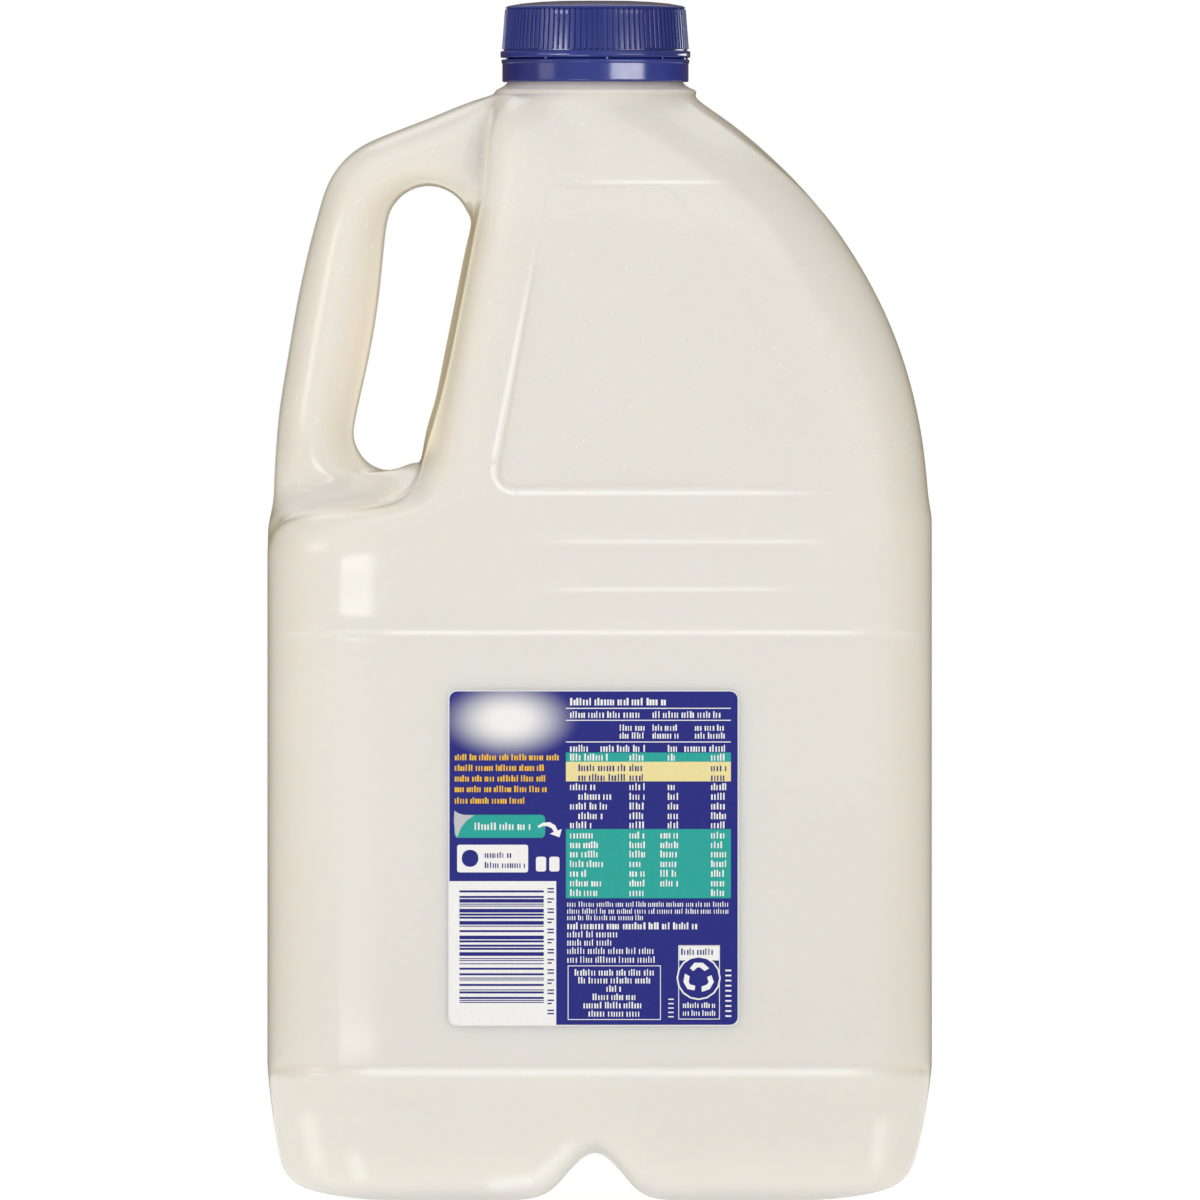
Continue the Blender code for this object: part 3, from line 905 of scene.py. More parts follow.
    def panel_left(self, z: float) -> float:
        """The slanted left edge of the shoulder's sunk panel."""
        (low_x, low_z), (high_x, high_z) = self.panel_slant
        return lerp(low_x, high_x, (z - low_z) / (high_z - low_z))

    def channel(self, x: float) -> float:
        """Height of the bell-shaped channel across the base.

        Args:
            x: The place across the base.

        Returns:
            The channel's height there.
        """
        spread = self.channel_spreads[x >= self.channel_x]
        height = self.channel_height * math.exp(-((x - self.channel_x) / spread) ** 2)
        return height if height > self.least_channel else 0.0

    def quarter(self, edge: float, inward: int, depth: float, radius: float,
                flute: float = 0.0) -> list[Flat]:
        """Points from the parting plane along a side wall and round its corner.

        Args:
            edge: X of the side wall.
            inward: The way from that wall to the middle, 1 or -1.
            depth: Half the section's depth.
            radius: The corner's radius.
            flute: How far the base's flutes are cut, from 0 to 1.

        Returns:
            One X-Y point for each side column.
        """
        wall = depth - radius
        length = wall + radius * math.pi / 2
        web = min(self.web_half_depth, self.web_share * length)
        start = max(wall, lerp(web, length, self.web_share))
        first = math.degrees((start - wall) / radius)
        points = [(edge, -run) for run in (0.0, web / 2, web, (web + start) / 2)]
        for k, (angle, sink) in enumerate(zip(self.flute_angles, self.flute_sinks)):
            even = lerp(first, 90.0, k / (len(self.flute_angles) - 1))
            turn = math.radians(lerp(even, angle, flute))
            reach = radius - sink * flute
            x = edge + inward * (radius - reach * math.cos(turn))
            points.append((x, -wall - reach * math.sin(turn)))
        return points

    def outline(self, sides: Flat, depth: float, radii: Flat, panel_x: float, fixed: float,
                flute: float = 0.0, draft: float = 0.0) -> list[Flat]:
        """Half of one level section.

        Args:
            sides: X of the left and the right wall.
            depth: Half the section's depth.
            radii: The left and the right corner's radius.
            panel_x: X of the front's first column beside the corner.
            fixed: Front columns up to this X keep their spacing, those beyond spread evenly.
            flute: How far the base's flutes are cut.
            draft: How far the left wall leans in towards the front.

        Returns:
            One X-Y point for each column.
        """
        left_part = [(x - draft * y / depth, y)
                     for x, y in self.quarter(sides[0], 1, depth, radii[0], flute)]
        right_part = self.quarter(sides[1], -1, depth, radii[1], flute)
        first, last = left_part[-1][0], right_part[-1][0]
        front = [(first + panel_x) / 2]
        for x in self.front_columns:
            share = max(0.0, x - fixed) / (self.front_end - self.right_corner - fixed)
            kept = panel_x + min(x, fixed) - self.front_columns[0]
            front.append(lerp(kept, last, share))
        return left_part + [(x, -depth) for x in front] + right_part[::-1]

    def lower_outline(self, z: float) -> list[Flat]:
        """Section of the body below the ledge.

        Args:
            z: The height.

        Returns:
            One X-Y point for each column.
        """
        taper = max(0.0, 1 - z / self.base_height) ** self.taper_power
        foot = self.foot_width * math.exp(-z / self.foot_height)
        left, right = (width * taper + foot for width in self.base_tapers)
        left_loss, right_loss = self.corner_losses
        radii = (max(self.least_corner, self.left_corner - left_loss * left),
                 max(self.least_corner, self.right_corner - right_loss * right))
        flute = ease(z, *self.flute_rise) * (1 - ease(z, *self.flute_end))
        return self.outline((-self.half_width + left, self.half_width - right), self.half_depth - right,
                            radii, self.front_columns[0], self.kept_columns, flute)

    def upper_outline(self, z: float) -> list[Flat]:
        """Section of the body beside the handle hole, up to the shoulder.

        Args:
            z: The height.

        Returns:
            One X-Y point for each column.
        """
        depth = self.depth_at(z)
        left_corner = lerp(self.upper_corner, self.top_corner, ease(z, *self.corner_zone))
        draft = lerp(self.wall_draft * ease(z, *self.wall_draft_zone), self.top_draft,
                     ease(z, *self.top_draft_zone))
        return self.outline((self.body_left(z), self.right_edge(z)), depth,
                            (left_corner, self.right_rounding(z)), self.panel_left(z),
                            self.front_columns[0], draft=draft)

    def round_outline(self, left: float, right: float, depth: float) -> list[Flat]:
        """Section near the neck: an ellipse with the columns at fixed angles.

        Args:
            left: X of the left side.
            right: X of the right side.
            depth: Half the section's depth.

        Returns:
            One X-Y point for each column.
        """
        if not self.angles:
            points = self.upper_outline(self.panel_top)
            middle = (points[0][0] + points[-1][0]) / 2
            self.angles = [math.atan2(-y, middle - x) for x, y in points]
        middle, half = (left + right) / 2, (right - left) / 2
        return [(middle - half * math.cos(a), -depth * math.sin(a)) for a in self.angles]

    def shoulder_outline(self, z: float) -> list[Flat]:
        """Section above the handle hole, from the rounded rectangle to the neck's circle.

        Args:
            z: The height.

        Returns:
            One X-Y point for each column.
        """
        early, late = (ease(z, start, self.flange_z) for start in self.circle_starts)
        circle = self.round_outline(self.body_left(z), self.right_edge(z), self.depth_at(z))
        row = []
        for c, (p, q) in enumerate(zip(self.upper_outline(z), circle)):
            row.append(mix(p, q, lerp(late, early, self.past_corner(c, 6.0))))
        return row

    def step_depth(self, x: float, z: float, stepped: float) -> float:
        """How far the front is set back at one place.

        Args:
            x: The place across the front.
            z: The place's height.
            stepped: The set-back of the stepped panel at that height.

        Returns:
            The set-back: stepped in the middle, and a plain slope above the label at both sides.
        """
        if z <= self.label_top:
            return stepped
        low, high = self.slope
        plain = self.slope_depth * (1 - min(1.0, max(0.0, (z - low) / (high - low))))
        middle = ease(x, *self.steps_left) * (1 - ease(x, *self.steps_right)) if z > low else 1.0
        return lerp(plain, stepped, middle)

    def face_share(self, column: int) -> float:
        """How much a column belongs to the front: 1 on it, 0 on the side walls."""
        from_side = min(column, self.columns - 1 - column) - self.corner_start
        return math.sin(math.radians(max(0.0, min(90.0, 22.5 * from_side))))

    def base_rows(self) -> list[list[Point]]:
        """Rows from the foot up to the label panel, lifted over the channel.

        Returns:
            The rows, one point for each column.
        """
        rows = []
        for z in self.base_heights:
            lift = (1 - z / self.base_height) ** self.channel_power
            rows.append([(x, y, z + self.channel(x) * lift) for x, y in self.lower_outline(z)])
        return rows

    def panel_rows(self) -> list[list[Point]]:
        """Rows of the label panel and of the stepped lines above it.

        Returns:
            The rows, one point for each column.
        """
        rows = []
        for z, stepped in self.steps:
            row = []
            for c, (x, y) in enumerate(self.lower_outline(z)):
                side = 1.0 - self.past_corner(c)
                height = z - self.corner_drop * max(0.0, z - self.corner_drop_start) * side
                row.append((x, y + self.step_depth(x, height, stepped) * self.face_share(c), height))
            rows.append(row)
        return rows

    def climb(self, y: float) -> float:
        """How much higher the wall's foot lies in the hole than beside the web."""
        return self.climb_height * max(0.0, 1 - abs(y) / self.web_half_depth)

    def past_corner(self, column: int, reach: float = 4.0) -> float:
        """0 up to the left front corner, rising to 1 a number of columns beyond it."""
        return ease(column, self.side_columns - 1, self.side_columns - 1 + reach)

    def ledge_rows(self) -> list[list[Point]]:
        """Rows from the ledge's outer edge to the foot of the slanted wall.

        Returns:
            The rows, one point for each column.
        """
        outer, inner = self.lower_outline(self.steps[-1][0]), self.upper_outline(self.panel_bottom)
        ledge_x, ledge_z = self.ledge_place
        rows = []
        for share, web_share, rise, web_rise, corner, front in self.ledge_profile:
            row: list[Point] = []
            shelf = 0.0
            for c, (p, q) in enumerate(zip(outer, inner)):
                in_web = c <= self.web_column
                x, y = mix(p, q, web_share if in_web else share)
                if c <= self.corner_start:
                    lift = self.climb(y) if web_share == 1.0 else 0.0
                    fall = self.ledge_fall * max(0.0, abs(y) - self.web_half_depth)
                    shelf = z = (ledge_z + self.ledge_lean * (x - ledge_x) - fall + lift
                                 + (web_rise if in_web else rise))
                    x += self.climb_lean * lift
                    if in_web:
                        y *= 1 + self.web_flare * ease(share, 0.4, 1.0)
                elif c < self.side_columns:
                    turn = (c - self.corner_start) / (self.side_columns - 1 - self.corner_start)
                    z = lerp(shelf, corner, 1 - math.cos(turn * math.pi / 2))
                else:
                    z = lerp(corner, front, self.past_corner(c))
                row.append((x, y, z))
            rows.append(row)
        return rows

    def body_rows(self) -> list[list[Point]]:
        """Rows beside the handle hole, whose points in the hole climb with the wall's foot.

        Returns:
            The rows, one point for each column.
        """
        rows = []
        for z, follow in self.body_levels:
            row = []
            for c, (x, y) in enumerate(self.upper_outline(z)):
                at_foot = z == self.body_levels[0][0] and c < self.side_columns
                side = min(1.0, (self.side_columns - 1 - c) / self.foot_columns) if at_foot else 0.0
                rise = follow * self.climb(y) if c <= self.web_column else -self.foot_drop * side
                row.append((x + self.hole_lean * rise - self.foot_shift * side, y, z + rise))
            rows.append(row)
        return rows

    def neck_rows(self) -> list[list[Point]]:
        """Rows from the top of the sunk panel to the top of the hidden neck.

        Returns:
            The rows, one point for each column.
        """
        rows = [[(x, y, z) for x, y in self.shoulder_outline(z)]
                for z in (self.panel_top, 233.0, self.flange_z - 1.4)]
        neck = (*steps_from(self.flange_radius, self.flange_z, (0.0, -0.5), (-0.2, 0.0)),
                (self.neck_radius, 243.0),
                *steps_from(self.neck_radius, self.finish_top, (-0.4, -1.0), (-1.4, 0.0)))
        for radius, z in neck:
            circle = self.round_outline(NECK_X - radius, NECK_X + radius, radius)
            rows.append([(x, y, z) for x, y in circle])
        rows.append([(x, 0.0, z) for x, _, z in rows[-1]])
        return rows

    def underside(self, rim: list[Point]) -> list[list[Point]]:
        """A grid between the rim's front columns and its two side walls.

        Args:
            rim: The lowest row of the wall.

        Returns:
            Rows from the parting plane to the rim's front.
        """
        last = self.columns - 1
        front = rim[self.patch_column:self.columns - self.patch_column]
        width = front[-1][0] - front[0][0]
        rows = []
        for k in range(self.patch_column):
            left, right = rim[k], rim[last - k]
            row = [left]
            for x, _, _ in front[1:-1]:
                px, py, _ = mix(left, right, (x - front[0][0]) / width)
                row.append((px, py, self.channel(px)))
            rows.append(row + [right])
        return rows + [list(front)]

    def hole_edge(self) -> list[Flat]:
        """Points round the handle's hole.

        Returns:
            X-Z points from its lower right, along its left side, to its upper right.
        """
        def arc(circle: tuple[float, float, float], angles: tuple[float, ...]) -> list[Flat]:
            """Points at several angles on a circle.

            Args:
                circle: The circle's X, Z and radius.
                angles: The angles in degrees.

            Returns:
                One point for each angle.
            """
            x, z, radius = circle
            turns = [math.radians(angle) for angle in angles]
            return [(x + radius * math.cos(turn), z + radius * math.sin(turn)) for turn in turns]

        low = arc(self.hole_low, self.hole_low_angles)
        top = arc(self.hole_high, self.hole_high_angles)
        side = [mix(low[-1], top[0], share) for share in (1 / 3, 2 / 3)]
        return low + [(x + self.hole_bulge, z) for x, z in side] + top

    def handle_rings(self, wall: list[list[Point]], low_mouth: int,
                     top_mouth: int) -> list[list[Point]]:
        """The handle's sections, from its lower opening in the wall to its upper one.

        Args:
            wall: The rows of the wall.
            low_mouth: The first row of the lower opening.
            top_mouth: The first row of the upper opening.

        Returns:
            Half sections, each from its outer point round the front to its inner one.
        """
        def mouth(first: int) -> list[Point]:
            """The border of an opening, from its lowest or outermost point.

            Args:
                first: The opening's first row.

            Returns:
                The points of half the border.
            """
            low, high, edge = wall[first], wall[first + 3], self.web_column
            return [low[0], low[1], low[edge], wall[first + 1][edge], wall[first + 2][edge],
                    high[edge], high[1], high[0]]

        rings = [mouth(low_mouth)]
        for outer, inner in zip(self.handle_edge, self.hole_edge()):
            ring = []
            for k in range(self.ring_segments + 1):
                turn = math.pi * k / self.ring_segments
                x, z = mix(outer, inner, (1 - math.cos(turn)) / 2)
                ring.append((x, -self.grip_half_depth * math.sin(turn) ** self.ring_fullness, z))
            rings.append(ring)
        return rings + [mouth(top_mouth)[::-1]]

    def sheet(self, name: str, rows: list[list[Point]]) -> Thing:
        """Adds a grid primitive and sets its points on the given rows.

        Args:
            name: The piece's name.
            rows: The rows of points, all of one length.

        Returns:
            The open piece.
        """
        Bench.clear()
        bpy.ops.mesh.primitive_grid_add(
            x_subdivisions=len(rows[0]) - 1, y_subdivisions=len(rows) - 1, size=1.0)
        piece = Bench.fresh(name)
        piece.data.vertices.foreach_set("co", [v * MM for row in rows for p in row for v in p])
        piece.data.update()
        return piece

    def panel_fade(self, x: float, z: float) -> float:
        """How deep the panel is cut: nothing at its right border and upper left corner.

        Args:
            x: The place across the front.
            z: The place's height.

        Returns:
            A share of the full depth.
        """
        border = self.right_edge(z) - self.right_rounding(z)
        wide, tall = self.panel_fade_corner
        corner = math.hypot((x - self.panel_left(self.panel_top)) / wide, (z - self.panel_top) / tall)
        far, near = self.panel_fade_border
        return (1 - ease(x, border - far, border - near)) * ease(corner)

    def sink_panel(self) -> None:
        """Sets the picked faces back behind a narrow rim that fades to the right."""
        outer, slope, inner = (width * MM for width in self.panel_rim)
        bpy.ops.mesh.inset(thickness=outer, use_even_offset=True)
        bpy.ops.mesh.inset(thickness=slope, use_even_offset=True)
        for point in Bench.open_mesh().verts:
            if point.select:
                point.co.y += self.panel_sink * self.panel_fade(point.co.x / MM, point.co.z / MM) * MM
        bmesh.update_edit_mesh(bpy.context.edit_object.data)
        bpy.ops.mesh.inset(thickness=inner, use_even_offset=True)

    def cage(self) -> Thing:
        """Joins the three sheets of the front half into one open cage.

        Returns:
            The front half, open on the parting plane.
        """
        base, panel = self.base_rows(), self.panel_rows()
        shelf, body = self.ledge_rows(), self.body_rows()
        wall_rows = base + panel + shelf + body + self.neck_rows()
        low_mouth = len(base) + len(panel) + 1
        top_mouth = low_mouth + len(shelf) + len(body) - 2
        across = self.columns - 1
        openings = {r * across + c for first in (low_mouth, top_mouth) for r in range(first, first + 3)
                    for c in range(self.web_column)}
        sunk = {r * across + c for r in range(low_mouth + 3, top_mouth + 1)
                for c in range(self.side_columns + 1, self.columns - self.side_columns - 1)}
        wall = self.sheet("jug_wall", wall_rows)
        with Bench.editing(wall):
            Bench.pick(Part.FACE, lambda face: face.index in sunk)
            self.sink_panel()
            Bench.pick(Part.FACE, lambda face: face.index in openings)
            bpy.ops.mesh.delete(type="FACE")
        under = self.sheet("jug_underside", self.underside(wall_rows[0]))
        handle = self.sheet("jug_handle", self.handle_rings(wall_rows, low_mouth, top_mouth))
        cage = Bench.join("jug_body", [wall, under, handle])
        with Bench.editing(cage):
            Bench.face_outward()
        return cage

    def hold_shape(self, cage: Thing) -> None:
        """Moves the cage outward so that its smoothed surface passes through its own points.

        Args:
            cage: The closed cage before it is subdivided.
        """
        mesh = bmesh.new()
        mesh.from_mesh(cage.data)
        aims = [point.co.copy() for point in mesh.verts]
        limit = self.hold_limit * MM
        for _ in range(2):
            smoothed = []
            for point in mesh.verts:
                count = len(point.link_edges)
                near = sum((edge.other_vert(point).co for edge in point.link_edges), Vector())
                opposite = (loop.link_loop_next.link_loop_next.vert for loop in point.link_loops)
                far = sum((other.co for other in opposite), Vector())
                smoothed.append((count * count * point.co + 4 * near + far) / (count * (count + 5)))
            mesh.normal_update()
            for point, aim, now in zip(mesh.verts, aims, smoothed):
                move = point.normal.dot(aim - now)
                point.co += point.normal * max(-limit, min(limit, move))
        mesh.to_mesh(cage.data)
        mesh.free()

    def raise_seam(self, body: Thing) -> None:
        """Raises the thin line that the two mould halves leave on the parting plane.

        Args:
            body: The smoothed body.
        """
        def on_seam(point: bmesh.types.BMVert) -> bool:
            """True on the parting plane, above the foot and below the cap."""
            return abs(point.co.y) < 0.2 * WELD and low < point.co.z < high

        low, high = (height * MM for height in self.seam_heights)
        with Bench.editing(body):
            Bench.pick(Part.EDGE, lambda edge: all(on_seam(point) for point in edge.verts))
            bpy.ops.mesh.bevel(offset=self.seam_half_width * MM, segments=2, affect="EDGES")
            Bench.pick(Part.POINT, on_seam)
            bpy.ops.transform.shrink_fatten(value=self.seam_height * MM)

    def stay_inside(self, body: Thing) -> None:
        """Brings any point that stands out of the CAD node's box back onto it.

        Args:
            body: The finished body.
        """
        low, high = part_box("jug")
        for point in body.data.vertices:
            point.co = [max(a, min(b, v)) for a, v, b in zip(low, point.co, high)]

    def build(self, finish: Finish) -> Thing:
        """Models the whole jug.

        Args:
            finish: Its material.

        Returns:
            The finished piece.
        """
        body = self.cage()
        mirror = body.modifiers.new("other_half", "MIRROR")
        mirror.use_axis = (False, True, False)
        mirror.use_clip = True
        mirror.merge_threshold = 2 * WELD
        Bench.apply_modifiers(body)
        self.hold_shape(body)
        rounding = body.modifiers.new("rounding", "SUBSURF")
        rounding.levels = rounding.render_levels = 2
        Bench.apply_modifiers(body)
        self.raise_seam(body)
        self.stay_inside(body)
        with Bench.editing(body):
            Bench.face_outward()
        Bench.smooth(body, 60.0)
        return Bench.hand_over(body, finish, "jug", "milky_plastic")


@dataclass
class Lathe:
    """Turns profiles round the neck's axis by extruding and resizing one circle."""

    segments: int = 200

    def turn(self, name: str, profile: Sequence[Flat], closed: bool) -> Thing:
        """Makes one body of revolution.

        Args:
            name: The piece's name.
            profile: Its radii and heights in order.
            closed: True for a ring, whose last circle meets the first; otherwise the last one
                is drawn together on the axis and the first is filled.

        Returns:
            The piece, its faces outward.
        """
        Bench.clear()
        radius, height = profile[0]
        bpy.ops.mesh.primitive_circle_add(
            vertices=self.segments, radius=radius * MM, location=on_axis(height))
        piece = Bench.fresh(name)
        with Bench.editing(piece):
            bpy.ops.mesh.select_mode(type="EDGE")
            bpy.ops.mesh.select_all(action="SELECT")
            for next_radius, next_height in profile[1:]:
                bpy.ops.mesh.extrude_edges_move(
                    TRANSFORM_OT_translate={"value": (0.0, 0.0, (next_height - height) * MM)})
                ratio = next_radius / radius
                bpy.ops.transform.resize(value=(ratio, ratio, 1.0), center_override=on_axis(next_height))
                radius, height = next_radius, next_height
            if not closed:
                bpy.ops.mesh.merge(type="CENTER")
            Bench.pick(Part.EDGE, lambda edge: len(edge.link_faces) == 1)
            if closed:
                bpy.ops.mesh.bridge_edge_loops()
            else:
                bpy.ops.mesh.edge_face_add()
            Bench.face_outward()
        return piece


@dataclass
class Cap:
    """Screw cap: ribbed skirt with a plain rim below, and a slightly domed crown."""

    lathe: Lathe
    bore: float = 19.4
    bottom: float = 248.7
    rim_radius: float = 20.7
    rib_bottom: float = 250.1
    rib_foot: float = 0.34
    rib_top: float = 259.3
    foot_radius: float = 19.98
    head_radius: float = 19.3
    rib_height: float = 0.42
    rib_insets: Flat = (0.09, 0.10)
    rib_shares: Flat = (0.6, 0.4)
    top: float = 261.2
    roof: float = 2.4

    def profile(self) -> list[Flat]:
        """Radii and heights from the bore, round the rim and up to the crown.

        Returns:
            The profile in order.
        """
        return [(self.bore, self.top - self.roof),
                *steps_from(self.bore, self.bottom, (0.0, 0.2), (0.2, 0.0)),
                *steps_from(self.rim_radius, self.bottom, (-0.25, 0.0), (-0.06, 0.08), (0.0, 0.28)),
                *steps_from(self.rim_radius, self.rib_bottom, (0.0, -0.15), (-0.12, 0.0)),
                *steps_from(self.foot_radius, self.rib_bottom, (0.0, 0.16), (0.0, self.rib_foot)),
                *steps_from(self.head_radius, self.rib_top, (0.0, 0.0), (0.28, 0.18), (0.2, 0.42),
                            (-0.2, 0.66), (-1.2, 0.86)),
                *steps_from(0.0, self.top, (16.0, -0.68), (12.5, -0.34), (8.0, -0.12), (3.5, -0.02))]

    def raise_ribs(self, cap: Thing) -> None:
        """Insets every other face of the skirt and raises it into a rounded rib.

        Args:
            cap: The turned cap.
        """
        pitch = 2 * math.pi / self.lathe.segments
        low, high = (self.rib_bottom + self.rib_foot) * MM, self.rib_top * MM

        def is_rib(face: bmesh.types.BMFace) -> bool:
            """True for every other tall face of the skirt's outside.

            Args:
                face: A face of the cap.

            Returns:
                Whether a rib stands on it.
            """
            middle = face.calc_center_median()
            x, y = middle.x - NECK_X * MM, middle.y
            tall = max(v.co.z for v in face.verts) - min(v.co.z for v in face.verts) > 0.8 * (high - low)
            outside = math.hypot(x, y) > (self.head_radius - 0.2) * MM
            return tall and outside and int(math.atan2(y, x) // pitch) % 2 == 0

        with Bench.editing(cap):
            Bench.pick(Part.FACE, is_rib)
            for inset, share in zip(self.rib_insets, self.rib_shares):
                bpy.ops.mesh.inset(
                    use_individual=True, thickness=inset * MM, depth=share * self.rib_height * MM)

    def build(self, finish: Finish) -> Thing:
        """Models the cap.

        Args:
            finish: Its material.

        Returns:
            The finished piece.
        """
        cap = self.lathe.turn("screw_cap", self.profile(), closed=False)
        self.raise_ribs(cap)
        Bench.smooth(cap, 50.0)
        return Bench.hand_over(cap, finish, "cap", "cap_plastic")


@dataclass
class TamperBand:
    """The band that stays on the neck: a bead on top, a plain wall, and break-off bridges."""

    lathe: Lathe
    bore: float = 18.9
    radius: float = 20.3
    bottom: float = 243.4
    top: float = 248.35
    lip_radius: float = 19.45
    lip_top: float = 249.4
    bridges: int = 9
    first_bridge: float = -83.0
    bridge_size: Point = (0.5, 0.7, 0.82)
    bridge_inset: float = 0.35
    bridge_rounding: float = 0.15

    def profile(self) -> list[Flat]:
        """Radii and heights from the bore, round the foot and up to the lip.

        Returns:
            The profile in order.
        """
        return [(self.bore, self.lip_top),
                *steps_from(self.bore, self.bottom, (0.0, 0.15), (0.15, 0.0)),
                *steps_from(self.radius, self.bottom, (-0.3, 0.0), (-0.08, 0.12), (0.0, 0.32),
                            (0.0, 0.5)),
                *steps_from(self.radius, self.top, (0.0, -1.1), (0.0, -0.95), (0.14, -0.86), (0.2, -0.6),
                            (0.2, -0.2), (0.05, -0.03), (-0.2, 0.0)),
                (self.lip_radius, self.top), (self.bore + 0.15, self.lip_top)]

    def bridge(self, degrees: float) -> Thing:
        """One small bridge between the band's bead and the cap's rim.

        Args:
            degrees: Its angle round the neck.

        Returns:
            The piece.
        """
        Bench.clear()
        tall = self.bridge_size[2]
        bpy.ops.mesh.primitive_cube_add(
            size=1.0, scale=[side * MM for side in self.bridge_size],
            location=on_axis(self.top + tall / 2, self.radius - self.bridge_inset))
        piece = Bench.fresh("bridge")
        axis = Vector(on_axis(0.0))
        piece.data.transform(Matrix.Translation(axis) @ Matrix.Rotation(math.radians(degrees), 4, "Z")
                             @ Matrix.Translation(-axis))
        with Bench.editing(piece):
            Bench.pick(Part.EDGE, lambda edge: abs((edge.verts[0].co - edge.verts[1].co).z) > 0.5 * MM)
            bpy.ops.mesh.bevel(offset=self.bridge_rounding * MM, segments=2, affect="EDGES")
        return piece

    def build(self, finish: Finish) -> Thing:
        """Models the band.

        Args:
            finish: Its material.

        Returns:
            The finished piece.
        """
        ring = self.lathe.turn("band_ring", self.profile(), closed=True)
        turns = [self.first_bridge + 360.0 * k / self.bridges for k in range(self.bridges)]
        band = Bench.join("tamper_ring", [ring, *(self.bridge(turn) for turn in turns)])
        Bench.smooth(band, 50.0)
        return Bench.hand_over(band, finish, "tamper_band", "cap_plastic")


